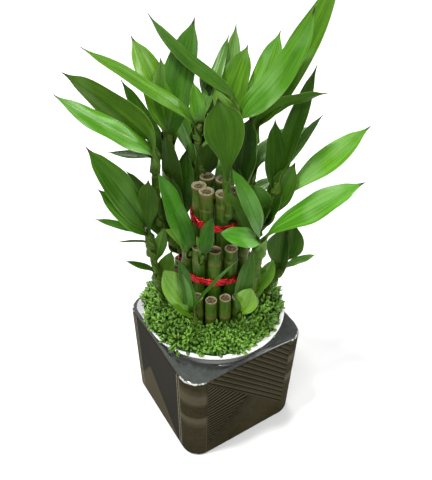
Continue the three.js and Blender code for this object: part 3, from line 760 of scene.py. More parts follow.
def with_bud(points, heights, height, chance):
    """Points of an upright cane with one pointed bud swelling from its side, and how much of it is bud."""
    turn = math.atan2(points[:, 1].mean(), points[:, 0].mean()) + chance.uniform(-3.1, 3.1)
    around = np.arctan2(points[:, 1], points[:, 0])
    off = np.angle(np.exp(1j * (around - turn)))
    rise = (heights - height) / np.where(heights > height, 3.4, 1.6)
    bud = np.exp(-(off / 0.42) ** 2 - rise ** 2)
    outward = np.stack([np.cos(around), np.sin(around)], 1)
    points[:, :2] += outward * (1.5 * bud)[:, None]
    return points, bud


def on_ring(ring, degrees, height, shift=0.0):
    angle = math.radians(degrees)
    return Vector((ring * math.cos(angle) - shift, ring * math.sin(angle), height))


for tier, (count, radius, foot_ring, head_ring, first, shift, flare, tops, scars) in STALK_TIERS.items():
    for i in range(count):
        chance = random.Random(f"{tier} {i}")
        degrees = first + 360 / count * i
        foot = on_ring(foot_ring, degrees, STALK_FOOT)
        head = on_ring(head_ring, degrees, tops[i % len(tops)], shift)
        height = (head - foot).length
        rings = [scar - STALK_FOOT + (i % 3) * 3 * (scar > 100) for scar in scars]
        profile = cane_profile(height, radius, rings, flare, chance)
        points, faces = turned([row[:2] for row in profile], STALK_SIDES)
        values = np.array([row for row in profile for _ in range(1 if row[0] == 0 else STALK_SIDES)])
        points = roughened(points, 4.5, 0.22, seed=i + count)
        fine = np.array([noise.noise(Vector(p) / 1.3) for p in points])
        bud_scar = rings[-1] if tier == "middle_stalk" else rings[0]
        side_wall = (values[:, 3] == 0) & (values[:, 1] > 1)
        points, bud = with_bud(points, np.where(side_wall, values[:, 1], 1e3), bud_scar + 3.5, chance)
        near_scar = np.exp(-(np.abs(values[:, 1, None] - np.array(rings)).min(1) / 4.0) ** 2)
        points[:, 2] += np.where(values[:, 3] > 0.3, fine * 0.35, 0)
        lean = Vector((0, 0, 1)).rotation_difference(head - foot).to_matrix()
        points = points @ np.array(lean).T + np.array(foot)
        stalk = made(
            f"{tier}_{i + 1}_cane",
            in_plant(points),
            faces,
            bark.material,
            slot="stalk",
            replaces=[f"{tier}_{i + 1}"],
        )
        point_values(stalk, "scar", values[:, 2])
        point_values(stalk, "cut", values[:, 3])
        point_values(stalk, "stain", np.maximum(bud, near_scar))

# ---- red ties -----------------------------------------------------------------------------------
# Two bands of crumpled red foil hold the bundle together: a level one round the middle ring and a
# tilted, twisted one round the innermost ring.

TIE_HEIGHT = 7.6
TIE_THICKNESS = 2.2
STRANDS = 6
STRAND_TURNS = 9                    # how often the strands pass a point of the section on their way round
TIES = {
    # name: inside radius, height, tilt, shift, how often it is pinched
    "lower_red_tie": (28.6, 69.5, 0, 0, 30),
    "upper_red_tie": (17.4, 114.2, 9, 0.8, 26),
}

foil = Finish("red_foil")
where = foil.place()
creased = foil.noise(where, 210.0, detail=3.0)
red = foil.mix(foil.remap(creased, 0.35, 0.65), (0.16, 0.002, 0.004, 1), (0.64, 0.013, 0.018, 1))
foil.surface(
    Base_Color=red,
    Metallic=0.75,
    Roughness=foil.remap(creased, 0.3, 0.7, 0.16, 0.38),
    Normal=foil.bump(creased, 0.4, 0.0012),
)


def foil_band(inside, pinches):
    """A closed band, pinched all the way round, with strands that wind slowly along it."""
    around, across = pinches * 10, 30
    points = []
    for step in range(around):
        angle = 2 * math.pi * step / around
        fine = noise.noise(Vector((math.cos(angle), math.sin(angle), 0)) * pinches * 0.7)
        for side in range(across):
            turn = 2 * math.pi * side / across
            strand = STRANDS * turn + STRAND_TURNS * angle
            fold = math.sin(strand + 1.4 * math.sin(angle * 5) + 2.2 * fine)
            tall = TIE_HEIGHT / 2 * (0.82 + 0.03 * fold + 0.22 * fine)
            deep = TIE_THICKNESS / 2 * (0.75 + 0.2 * math.sin(angle * pinches * 0.5 + turn))
            out = inside + TIE_THICKNESS / 2 + deep * math.cos(turn) + 0.34 * fold
            up = tall * math.copysign(abs(math.sin(turn)) ** 0.7, math.sin(turn))
            points.append((out * math.cos(angle), out * math.sin(angle), up))
    faces = sheet_faces(around, across)
    last = (around - 1) * across
    for side in range(across):
        beside = (side + 1) % across
        faces.append((last + side, last + beside, beside, side))
    return points, faces


for name, (inside, height, tilt, shift, pinches) in TIES.items():
    points, faces = foil_band(inside, pinches)
    lean = np.array(Matrix.Rotation(math.radians(tilt), 3, "Y"))
    points = np.array(points) @ lean.T + (-shift, 0, height)
    made(
        f"{name}_foil",
        in_plant(points),
        faces,
        foil.material,
        slot="red_foil",
        replaces=[name],
    )

# ---- shoots -------------------------------------------------------------------------------------
# Each shoot is a green stem grown from the side of a cane, wrapped in the sheaths of its leaves. Its
# leaves are long, pointed and channelled along the middle; each clasps the stem and then opens out.

LEAF_ROWS = 46
LEAF_COLUMNS = 18
BLADE_NECK = 0.3
BLADE_WIDEST = 0.4
SHEATH = 9.0                        # how far down the stem a leaf's base reaches
STEM_SIDES = 16
SHEATH_EDGE = 0.94                  # where a sheath on the stem ends, as a share of their spacing
STEM_SLIMMING = 0.88                # how thick a stem is beside its girth

# A leaf's fields: where it leaves the stem as a share of the stem, the compass direction and slope
# it sets off in, its length and width, how far it droops and is turned about its own length, where it
# is widest, how light its green is, which carries painted light and shade as well as its own tone,
# and how yellow.
LEAF_FIELDS = ("at", "azimuth", "lift", "length", "width", "droop", "roll", "widest", "light", "yellow")
SHOOTS = {
    "top_left_shoot": {
        "girth": 8,
        "stem": [(-8, 12, 124), (-10, 17, 138), (-12, 17, 154), (-14, 13, 172), (-13, 9, 188)],
        "leaves": [
            (0.93, 179, 38, 97, 14, 4, -20, 0.4, 0.6, 0.55),
            (0.98, 122, 80, 30, 12, 10, 0, 0.4, 0.6, 0.4),
            (1, 64, 50, 68, 10, 6, 0, 0.4, 0.4, 0.45),
            (0.86, 57, 69, 38, 11, 4, 0, 0.4, 0.03, 0.3),
            (0.2, -62, 76, 43, 17, 4, -28, 0.4, 0.12, 0.4),
        ],
    },
    "top_front_shoot": {
        "girth": 7,
        "stem": [
            (7, -11, 119), (10, -17, 126), (9.5, -15, 138), (7, -11, 152),
            (9, -5, 172), (13, 2, 190), (14, 10, 203),
        ],
        "leaves": [
            (0.4, -62, 90, 70, 29, -30, -38, 0.66, 0.22, 0.3),
            (0.833, 20, 32, 95, 22, -48, 24, 0.34, 0.6, 0.35),
            (1, 154, 20, 88, 12.5, -32, -20, 0.4, 0.26, 0.45),
            (0.8, 150, 55, 33, 13, -6, -40, 0.4, 0.5, 0.7),
        ],
    },
    "top_right_shoot": {
        "girth": 8,
        "stem": [(12, 2, 124), (20, 8, 136), (25, 10, 150), (27, 11, 168), (26, 13, 184)],
        "leaves": [
            (0.95, -5, 53, 60, 18, 40, -50, 0.4, 0.28, 0.4),
            (0.95, 29, 47, 122, 25, -26, 20, 0.32, 0.5, 0.55),
            (1, 61, 64, 69, 20, 10, 0, 0.4, 0.75, 0.45),
            (0.12, 7, 88, 67, 22, 10, 55, 0.5, 0.08, 0.4),
            (0.3, 80, 85, 27, 13, 4, 0, 0.4, 0.06, 0.3),
        ],
    },
    "top_back_shoot": {
        "girth": 7,
        "stem": [(5, 11, 126), (8, 21, 140), (7, 26, 160), (6, 25, 185)],
        "leaves": [
            (0.94, 78, 68, 70, 14, 4, 10, 0.4, 0.5, 0.7),
            (0.97, 30, 77, 56, 22, 8, 40, 0.4, 0.62, 0.6),
            (0.7, 135, 63, 61, 18, 6, 0, 0.4, 0.3, 0.3),
        ],
    },
    "upper_left_back_shoot": {
        "girth": 10,
        "stem": [(-20, 12, 86), (-28, 14, 100), (-35, 12, 125), (-37, 14, 150), (-36, 17, 176)],
        "leaves": [
            (0.97, 136, 71, 75, 24, 20, -10, 0.4, 0.78, 0.7),
            (0.94, 56, 72, 88, 25, 10, 20, 0.4, 0.33, 0.3),
            (1, 106, 75, 53, 19, 14, 0, 0.4, 0.4, 0.55),
            (0.72, 150, 63, 74, 15, 10, -10, 0.4, 0.3, 0.5),
            (0.3, 68, 73, 56, 15, 4, 0, 0.4, 0.12, 0.3),
            (0.2, 3, 86, 65, 17, 0, 65, 0.4, 0.18, 0.3),
            (0.3, -121, 82, 82, 15, 4, 25, 0.4, 0.1, 0.4),
        ],
    },
    "upper_left_shoot": {
        "girth": 8,
        "stem": [(-22, -2, 78), (-31, -4, 86), (-41, -6, 105), (-45, -6, 135), (-43, -4, 172)],
        "leaves": [
            (1, 176, 51, 82, 24, 17, 80, 0.4, 0.34, 0.65),
            (0.96, -171, 34, 83, 18, -10, -30, 0.4, 0.75, 0.35),
            (0.95, -170, 12, 35, 9, -8, -10, 0.4, 0.2, 0.3),
            (0.62, -175, 63, 45, 12, 4, -20, 0.4, 0.25, 0.4),
            (0.3, 90, 83, 58, 20, 4, 0, 0.4, 0.12, 0.3),
            (0.3, -175, 54, 49, 11, 6, -35, 0.4, 0.35, 0.4),
        ],
    },
    "front_left_leaf_shoot": {
        "girth": 6,
        "stem": [(-20, -10, 84), (-20, -17, 88), (-19, -21, 94)],
        "leaves": [
            (1, -177, 73, 76, 22, 0, -30, 0.4, 0.48, 0.12),
            (0.9, -169, 67, 32, 9, 30, -40, 0.4, 0.75, 0.8),
        ],
    },
    "front_bud_shoot": {
        "girth": 5,
        "stem": [(-12, -19, 84), (-11, -26, 88), (-9, -29, 97)],
        "leaves": [
            (1, 35, 76, 34, 12, 0, 20, 0.4, 0.2, 0.2),
            (0.9, 140, 70, 18, 6, 0, 0, 0.4, 0.6, 0.7),
        ],
    },
    "upper_right_shoot": {
        "girth": 8,
        "stem": [(22, 3, 82), (31, 2, 94), (40, 2, 108), (44, 4, 124), (46, 8, 142)],
        "leaves": [
            (0.25, 8, 62, 71, 20, -10, 60, 0.62, 0.22, 0.5),
            (0.7, 6, 43, 95, 22, -4, 20, 0.55, 0.8, 0.45),
            (0.9, 48, 70, 96, 16, 6, 0, 0.4, 0.22, 0.5),
            (0.84, 97, 74, 58, 17, 6, 0, 0.4, 0.14, 0.5),
            (1, 20, 60, 60, 12, 6, 0, 0.4, 0.3, 0.5),
            (0.42, -150, 75, 45, 21, 0, 62, 0.4, 0.4, 0.15),
            (0.3, -25, 63, 48, 16, -8, 40, 0.55, 0.12, 0.4),
            (0.12, -34, 62, 46, 14, -8, 40, 0.55, 0.1, 0.35),
            (0.06, -119, 65, 77, 15, 0, 20, 0.4, 0.3, 0.5),
        ],
    },
    "low_left_shoot": {
        "girth": 7,
        "stem": [(-33, -6, 8), (-38, -7, 18), (-44, -10, 36), (-48, -15.5, 70), (-51, -16.5, 108)],
        "leaves": [
            (1, -169, 65, 86, 23, 2, -50, 0.4, 0.3, 0.45),
            (0.97, -161, 56, 61, 20, 0, -50, 0.4, 0.5, 0.35),
            (0.98, -167, 29, 45, 8, 0, -20, 0.4, 0.35, 0.3),
            (0.96, -69, 86, 59, 15, 8, -35, 0.6, 0.18, 0.4),
            (0.72, -158, 42, 31, 6, 5, -30, 0.4, 0.3, 0.4),
            (0.92, -165, 27, 27, 3, 20, 0, 0.4, 0.2, 0.9),
            (0.5, -30, 85, 56, 15, 14, -60, 0.4, 0.4, 0.6),
            (0.75, -3, 74, 45, 12, -10, -70, 0.4, 0.45, 0.6),
        ],
    },
    "low_front_left_shoot": {
        "girth": 5.5,
        "stem": [(-14, -32, 34), (-16, -41, 41), (-18, -44, 50)],
        "leaves": [
            (1, -174, 59, 52, 20, -16, -50, 0.52, 0.75, 0.8),
            (0.7, -135, 54, 34, 12, 6, -30, 0.4, 0.5, 0.7),
            (1, 145, 78, 39, 7, 0, -30, 0.4, 0.4, 0.4),
            (0.9, 150, 78, 54, 13, 0, -10, 0.4, 0.25, 0.2),
            (0.95, 0, 67, 68, 3, 18, 30, 0.4, 0.25, 0.3),
        ],
    },
    "low_front_right_shoot": {
        "girth": 5.5,
        "stem": [(19, -29, 34), (21, -39, 40), (21, -42, 48)],
        "leaves": [
            (1, 25, 83, 62, 14, 0, 40, 0.4, 0.2, 0.4),
            (0.9, -36, 71, 36, 18, -8, 100, 0.5, 0.7, 0.85),
        ],
    },
    "low_right_shoot": {
        "girth": 11,
        "stem": [(27, -22, 36), (30, -28, 46), (30, -29, 65), (32, -27, 88), (35, -24, 108)],
        "leaves": [
            (1, -2, 45, 88, 22, 12, 25, 0.52, 0.74, 0.3),
            (0.97, 174, 77, 70, 16, 16, -35, 0.4, 0.42, 0.25),
            (0.96, -151, 30, 44, 16, -8, -40, 0.4, 0.7, 0.15),
            (0.4, 8, 57, 40, 13, -20, 60, 0.4, 0.5, 0.6),
            (0.25, -112, 84, 64, 12, 0, 30, 0.4, 0.35, 0.6),
            (0.15, -20, 75, 44, 10, 0, -60, 0.4, 0.45, 0.6),
        ],
    },
    "low_right_back_shoot": {
        "girth": 7,
        "stem": [(34, 1, 10), (40, 3, 20), (47, 4, 36), (58, 3, 58)],
        "leaves": [
            (1, -5, 36, 31, 8, 4, 20, 0.4, 0.5, 0.4),
            (0.9, -115, 81, 54, 25, -10, 58, 0.6, 0.14, 0.4),
            (1, -10, 76, 48, 20, -14, 70, 0.6, 0.22, 0.5),
            (0.75, -13, 81, 57, 15, 0, 70, 0.4, 0.12, 0.4),
        ],
    },
    "back_left_shoot": {
        "girth": 7,
        "stem": [(-9, 21, 80), (-12, 31, 92), (-16, 40, 112), (-18, 46, 136)],
        "leaves": [
            (1, 120, 54, 84, 22, 30, 0, 0.4, 0.35, 0.4),
            (0.85, 70, 50, 58, 18, 26, 0, 0.4, 0.5, 0.5),
            (0.6, 150, 48, 56, 14, 24, 0, 0.4, 0.4, 0.4),
            (0.06, 60, 83, 46, 18, 0, 0, 0.4, 0.1, 0.3),
        ],
    },
    "back_right_shoot": {
        "girth": 7,
        "stem": [(15, 17, 80), (21, 26, 92), (27, 34, 112), (30, 38, 134)],
        "leaves": [
            (1, 35, 38, 64, 22, 36, 0, 0.4, 0.4, 0.4),
            (0.85, 112, 50, 52, 18, 26, 0, 0.4, 0.3, 0.4),
            (0.6, 21, 34, 38, 14, 20, 0, 0.4, 0.5, 0.5),
            (0.06, 120, 83, 46, 18, 0, 0, 0.4, 0.1, 0.3),
        ],
    },
    "low_back_shoot": {
        "girth": 7,
        "stem": [(3, 34, 36), (4, 46, 46), (5, 52, 62), (5, 56, 82)],
        "leaves": [
            (1, 80, 59, 70, 20, 34, 0, 0.4, 0.4, 0.5),
            (0.8, 140, 50, 52, 15, 20, 0, 0.4, 0.5, 0.5),
            (0.6, 35, 50, 46, 13, 20, 0, 0.4, 0.45, 0.4),
            (0.08, 109, 78, 79, 18, 0, 0, 0.4, 0.1, 0.3),
        ],
    },
}


def vein_group():
    """Masks for a parallel-veined leaf: its veins, thin margin, dried tip, midrib and pale streaks."""
    tree, nodes, given, out = new_group(
        "leaf_veins",
        {"Across": "NodeSocketFloat", "Along": "NodeSocketFloat", "Grain": "NodeSocketVector"},
        {
            "Vein": "NodeSocketFloat",
            "Margin": "NodeSocketFloat",
            "Tip": "NodeSocketFloat",
            "Midrib": "NodeSocketFloat",
            "Streak": "NodeSocketFloat",
        },
    )
    side = nodes.math("ABSOLUTE", given["Across"])
    wander = nodes.noise(given["Grain"], 40.0, detail=1.0)
    ribs = nodes.math("MULTIPLY_ADD", side, 8.0, nodes.math("MULTIPLY", wander, 0.8))
    wave = nodes.math("SINE", nodes.math("MULTIPLY", ribs, 2 * math.pi))
    nodes.put(nodes.remap(wave, -0.1, 1.0), out["Vein"])
    nodes.put(nodes.remap(side, 0.96, 0.99), out["Margin"])
    frayed = nodes.math("MULTIPLY_ADD", wander, 0.05, given["Along"])
    nodes.put(nodes.remap(frayed, 0.965, 1.0), out["Tip"])
    nodes.put(nodes.remap(side, 0.055, 0.012), out["Midrib"])
    crosswise = nodes.math("MULTIPLY", given["Across"], 4.0)
    lengthwise = nodes.math("MULTIPLY", given["Along"], 0.8)
    stretched = nodes.add("ShaderNodeCombineXYZ", {0: crosswise, 1: lengthwise}).outputs[0]
    apart = nodes.vector_math("MULTIPLY", given["Grain"], (14, 14, 14))
    streaked = nodes.vector_math("ADD", stretched, apart)
    nodes.put(nodes.remap(nodes.noise(streaked, 1.5, detail=3.0), 0.40, 0.62), out["Streak"])
    return tree


LEAF_VEINS = vein_group()


def leaf_finish(name, underside):
    finish = Finish(name)
    where = finish.place()
    uv = finish.add("ShaderNodeUVMap", uv_map="leaf").outputs[0]
    parts = finish.add("ShaderNodeSeparateXYZ", {0: uv}).outputs
    veins = finish.group(LEAF_VEINS, {"Across": parts[0], "Along": parts[1], "Grain": where}).outputs
    cloud = finish.mottled(where, 34.0, 160.0)
    # Each leaf's lightness carries painted light and shade as well as its own tone: leaves in shade get a
    # darker green.
    light = finish.attribute("light")
    yellow = finish.attribute("yellow")
    cool = finish.mix(light, (0.003, 0.018, 0.001, 1), (0.058, 0.305, 0.016, 1))
    warm = finish.mix(light, (0.008, 0.025, 0.001, 1), (0.160, 0.360, 0.012, 1))
    green = finish.mix(yellow, cool, warm)
    if underside:
        green = finish.mix(0.25, green, (0.060, 0.110, 0.010, 1))
    lighter = finish.mix(1.0, green, (1.95, 1.6, 1.9, 1), blend="MULTIPLY")
    darker = finish.mix(1.0, green, (0.36, 0.48, 0.36, 1), blend="MULTIPLY")
    green = finish.mix(finish.math("MULTIPLY", cloud, 0.5), green, darker)
    # Painted shade: each leaf darkens towards its base.
    shaded = finish.remap(parts[1], 0.45, 0.05, 0, 0.6)
    green = finish.mix(shaded, green, darker)
    # Pale streaks along the leaf: partly its own stripes, partly painted sheen.
    green = finish.mix(finish.math("MULTIPLY", veins["Streak"], 0.35 if underside else 0.6), green, lighter)
    green = finish.mix(finish.math("MULTIPLY", veins["Vein"], 0.12), green, darker)
    # Painted sheen: pale patches, stronger on the lighter leaves.
    painted_sheen = finish.remap(finish.noise(finish.stretched(where, (1.0, 1.0, 0.7)), 44.0, detail=1.0), 0.50, 0.68)
    painted_sheen = finish.math("MULTIPLY", painted_sheen, finish.remap(light, 0.15, 0.85, 0.02, 0.40))
    green = finish.mix(painted_sheen, green, (0.260, 0.470, 0.160, 1))
    # Painted shade in the channel of the midrib.
    green = finish.mix(finish.math("MULTIPLY", veins["Midrib"], 0.5), green, darker)
    neck = finish.remap(parts[1], 0.16, 0.0)
    green = finish.mix(finish.math("MULTIPLY", neck, 0.5), green, (0.090, 0.150, 0.020, 1))
    green = finish.mix(finish.math("MULTIPLY", veins["Margin"], 0.55), green, (0.22, 0.33, 0.07, 1))
    green = finish.mix(veins["Tip"], green, (0.030, 0.014, 0.014, 1))
    height = finish.math("MULTIPLY_ADD", cloud, 0.25, veins["Vein"])
    finish.surface(
        Base_Color=green,
        Roughness=finish.remap(cloud, 0, 1, 0.42 if underside else 0.22, 0.54 if underside else 0.36),
        Specular_IOR_Level=0.12 if underside else 0.22,
        Specular_Tint=(0.8, 1.0, 0.6, 1),
        Coat_Weight=0.0 if underside else finish.remap(light, 0.2, 0.9, 0.02, 0.4),
        Coat_Roughness=0.24,
        Normal=finish.bump(height, 0.4, 0.0006),
    )
    return finish.material


leaf_upper = leaf_finish("leaf_upper", underside=False)
leaf_under = leaf_finish("leaf_under", underside=True)

sheath = Finish("stem_sheath")
where = sheath.place()
fibres = sheath.noise(sheath.stretched(where, (1, 1, 0.08)), 700.0)
patches = sheath.mottled(where, 50.0, 300.0)
green = sheath.mix(patches, (0.012, 0.044, 0.002, 1), (0.055, 0.125, 0.008, 1))
green = sheath.mix(sheath.remap(fibres, 0.4, 0.7, 0, 0.45), green, (0.100, 0.180, 0.018, 1))
green = sheath.mix(sheath.math("MULTIPLY", sheath.attribute("edge"), 0.7), green, (0.16, 0.15, 0.04, 1))
sheath.surface(
    Base_Color=green,
    Roughness=0.42,
    Specular_IOR_Level=0.15,
    Normal=sheath.bump(fibres, 0.3, 0.0005),
)


def unit(vectors):
    return vectors / np.linalg.norm(vectors, axis=-1, keepdims=True)


def stem_point(stem, share):
    """The point at a share of the way along a centripetal curve through a stem's points."""
    stem = [np.array(point, float) for point in stem]
    ends = [2 * stem[0] - stem[1], *stem, 2 * stem[-1] - stem[-2]]
    place = min(share, 1) * (len(stem) - 1)
    i = min(int(place), len(stem) - 2)
    t = place - i
    p = ends[i:i + 4]
    d0, d1, d2 = (math.sqrt(np.linalg.norm(b - a)) for a, b in zip(p, p[1:]))
    start = ((p[1] - p[0]) / d0 - (p[2] - p[0]) / (d0 + d1) + (p[2] - p[1]) / d1) * d1
    end = ((p[2] - p[1]) / d1 - (p[3] - p[1]) / (d1 + d2) + (p[3] - p[2]) / d2) * d1
    square, cube = t * t, t * t * t
    keep = (2 * cube - 3 * square + 1) * p[1] + (-2 * cube + 3 * square) * p[2]
    return keep + (cube - 2 * square + t) * start + (cube - square) * end


def stem_ahead(stem, share):
    low, high = max(share - 0.02, 0), min(share + 0.02, 1)
    return unit(stem_point(stem, high) - stem_point(stem, low))


def blade_neck(widest):
    """A blade that is widest further out has a slimmer neck."""
    return BLADE_NECK * min(1, (BLADE_WIDEST / widest) ** 2)


def blade_breadth(along, widest):
    along = np.clip(along, 0, 1)
    swell = np.sin(math.pi / 2 * np.clip(along / widest, 0, 1)) ** ((widest / BLADE_WIDEST) ** 3)
    taper = np.cos(math.pi / 2 * np.clip((along - widest) / (1 - widest), 0, 1) ** 1.4)
    drawn_out = 1 - 0.45 * smooth(along, 0.84, 0.97)
    neck = blade_neck(widest)
    return np.where(along < widest, neck + (1 - neck) * swell, taper * drawn_out)


def blade_directions(leaf, along):
    """The direction a blade grows in and the way its upper side faces, along its length."""
    slope = np.radians(leaf["lift"] - leaf["droop"] * along)
    heading = np.full_like(along, math.radians(leaf["azimuth"]))
    ahead = np.stack([np.cos(heading) * np.cos(slope), np.sin(heading) * np.cos(slope), np.sin(slope)], 1)
    level = np.stack([np.sin(heading), -np.cos(heading), 0 * heading], 1)
    roll = math.radians(leaf["roll"])
    side = level * math.cos(roll) + np.cross(ahead, level) * math.sin(roll)
    return ahead, np.cross(side, ahead)


def leaf_shape(leaf, stem, girth, order, chance):
    """Points of a leaf in the plant's own frame, with how far across and along the leaf each lies."""
    length, half_width = leaf["length"], leaf["width"] / 2
    rows = np.linspace(0, 1, LEAF_ROWS) ** 1.15
    reach = -SHEATH + (length + SHEATH) * rows
    along = np.clip(reach / length, 0, 1)
    ahead, face = blade_directions(leaf, along)
    trunk = stem_ahead(stem, leaf["at"])
    out = ahead[0] - trunk * (ahead[0] @ trunk)
    out = unit(out) if np.linalg.norm(out) > 0.05 else unit(-face[0] + trunk * (face[0] @ trunk))
    leaving = smooth(reach, -0.4 * SHEATH, 12)[:, None]
    opened = smooth(reach, -SHEATH, 0.15 * length + 4)
    ahead = unit(trunk * (1 - leaving) + ahead * leaving)
    facing = smooth(reach, -0.2 * SHEATH, 22)[:, None]
    face = unit(-out * (1 - facing) + face * facing)
    face = unit(face - ahead * np.sum(face * ahead, 1, keepdims=True))
    side = np.cross(ahead, face)

    base = stem_point(stem, leaf["at"])
    steps = np.diff(reach)[:, None] * (ahead[1:] + ahead[:-1]) / 2
    middle = base - trunk * SHEATH + np.vstack([[0, 0, 0], np.cumsum(steps, 0)])
    true_steps = 200
    true_along = (np.arange(true_steps) + 0.5) / true_steps
    tip = base + blade_directions(leaf, true_along)[0].sum(0) * length / true_steps
    middle += (tip - middle[-1]) * smooth(reach, -SHEATH, length)[:, None]

    wander = chance.uniform(-1, 1) * 0.02 * length * np.sin(math.pi * along) ** 2
    middle += side * wander[:, None]
    wrap = girth / 2 + 0.35 + 0.22 * order
    breadth = np.maximum(half_width * blade_breadth(along, leaf["widest"]), 0.25)
    breadth = np.where(reach < 0, np.maximum(breadth, half_width * blade_neck(leaf["widest"])), breadth)
    curl = wrap / np.maximum(1 - opened, 1e-3) ** 1.6
    breadth = np.maximum(breadth, wrap * 2.3 * (1 - opened) ** 1.2)
    middle -= face * (wrap * (1 - opened))[:, None]

    across = np.sin(np.linspace(-1, 1, LEAF_COLUMNS) * math.pi / 2 * 0.96) / math.sin(math.pi / 2 * 0.96)
    waves = chance.uniform(1.2, 2.6), chance.uniform(0, 6.28), chance.uniform(0, 6.28)
    depth = chance.uniform(0.05, 0.12)
    uneven = chance.uniform(0.015, 0.045)
    sheets = []
    for under in (False, True):
        t = across[::-1] if under else across
        arc = breadth[:, None] * t
        phase = np.where(t > 0, waves[1], waves[2])
        angle = arc / curl[:, None]
        sideways = np.sinc(angle / math.pi) * arc
        swaying = np.sin(7 * along[:, None] * waves[0] + 2.1 * phase)
        sideways = sideways * (1 + uneven * swaying * np.sin(math.pi * along[:, None]))
        rise = curl[:, None] * (1 - np.cos(angle))
        channel = (0.34 * np.sqrt(t * t + 0.002) - 0.18 * t * t) * breadth[:, None]
        ripple = depth * t * t * breadth[:, None] * np.sin(waves[0] * 2 * math.pi * along[:, None] + phase)
        rise = rise + (channel + ripple) * opened[:, None]
        if under:
            keel = 0.5 * np.exp(-(t * breadth[:, None] / 0.9) ** 2) * (1 - along[:, None]) ** 0.5
            rise = rise - (0.34 * (1 - 0.5 * t * t) + keel)
        points = middle[:, None, :] + side[:, None, :] * sideways[..., None]
        sheets.append(points + face[:, None, :] * rise[..., None])
    points = np.concatenate(sheets, 1)
    across_all = np.tile(np.concatenate([across, across[::-1]]), (LEAF_ROWS, 1))
    along_all = np.repeat(along[:, None], 2 * LEAF_COLUMNS, 1)
    return points.reshape(-1, 3), across_all.ravel(), along_all.ravel()


def stem_shape(stem, girth, chance):
    """Points of a stem with overlapping sheaths, and where their edges are."""
    shares = np.linspace(0, 1, 16 * (len(stem) - 1) + 1)
    centres = np.array([stem_point(stem, share) for share in shares])
    travelled = np.concatenate([[0], np.cumsum(np.linalg.norm(np.diff(centres, axis=0), axis=1))])
    total = travelled[-1]
    fine = np.arange(0, total, 0.6)
    centres = np.stack([np.interp(fine, travelled, centres[:, axis]) for axis in range(3)], 1)
    ahead = unit(np.gradient(centres, axis=0))
    side = unit(np.cross(ahead, (0.31, 0.95, 0.1)))
    face = np.cross(ahead, side)
    spacing = chance.uniform(9, 13)
    angles = np.linspace(0, 2 * math.pi, STEM_SIDES, endpoint=False)
    slant = 1.6 * np.cos(angles[None, :] - 2.4 * np.floor(fine / spacing)[:, None])
    place = (fine[:, None] + slant) / spacing % 1
    radius = girth / 2 * (1 - 0.12 * (fine / total)[:, None])
    radius = radius + 0.45 * (place - 0.6) * (place < SHEATH_EDGE)
    shrink = np.sqrt(np.clip((total - fine) / 2.5, 0.03, 1))[:, None]
    radius = radius * shrink
    points = centres[:, None, :] + radius[..., None] * (
        np.cos(angles)[None, :, None] * side[:, None, :] + np.sin(angles)[None, :, None] * face[:, None, :]
    )
    edges = np.exp(-((place - SHEATH_EDGE) / 0.045) ** 2)
    faces = sheet_faces(len(fine), STEM_SIDES)
    faces.append(tuple(range(STEM_SIDES))[::-1])
    faces.append(tuple(range((len(fine) - 1) * STEM_SIDES, len(fine) * STEM_SIDES)))
    return points.reshape(-1, 3), faces, edges.ravel()


leaf_around = 2 * LEAF_COLUMNS
leaf_faces = sheet_faces(LEAF_ROWS, leaf_around)
leaf_looks = [int(column % leaf_around >= LEAF_COLUMNS - 1) for column in range(len(leaf_faces))]
leaf_faces.append(tuple(range(leaf_around))[::-1])
leaf_faces.append(tuple(range((LEAF_ROWS - 1) * leaf_around, LEAF_ROWS * leaf_around)))
leaf_looks += [1, 1]

for name, shoot in SHOOTS.items():
    chance = random.Random(name)
    stem, girth = shoot["stem"], shoot["girth"] * STEM_SLIMMING
    points, faces, edges = stem_shape(stem, girth, chance)
    stem_piece = made(
        f"{name}_stem",
        in_plant(points),
        faces,
        sheath.material,
        slot="leaf",
        replaces=[name],
    )
    point_values(stem_piece, "edge", edges)
    for order, fields in enumerate(shoot["leaves"]):
        leaf = dict(zip(LEAF_FIELDS, fields))
        points, across, along = leaf_shape(leaf, stem, girth, order, chance)
        piece = made(
            f"{name}_leaf_{order + 1}",
            in_plant(points),
            leaf_faces,
            leaf_upper,
            leaf_under,
            slot="leaf",
            looks=leaf_looks,
        )
        add_uv(piece, "leaf", across, along)
        # The lightness value holds painted light and shade along with the leaf's own tone.
        point_values(piece, "light", np.full(len(points), leaf["light"]))
        point_values(piece, "yellow", np.full(len(points), leaf["yellow"]))

# ---- moss ---------------------------------------------------------------------------------------
# A thick mat of small glossy leaflets covers the growing medium and hangs a little over the rim. A
# dark mound carries it, and sprigs of five leaflets are scattered over the mound at random.

MOSS_EDGE_RADIUS = 63.6
SPRIG_LENGTH = 7.4
SPRIG_TILTS = (22, 52, 60, 68, 76)
SPRIGS = 950
BARE_SIDE = math.radians(-62)       # where more of the rim plate shows
MOUND_SIDES = 90
MOUND_BED = (0, 0.1, 0.6, 1, 1, 1, 0.8)     # how thickly sprigs grow on each ring of the mound

moss_green = Finish("moss_leaflet")
where = moss_green.place()
tint = moss_green.attribute("tint")
green = moss_green.mix(tint, (0.024, 0.095, 0.005, 1), (0.180, 0.390, 0.040, 1))
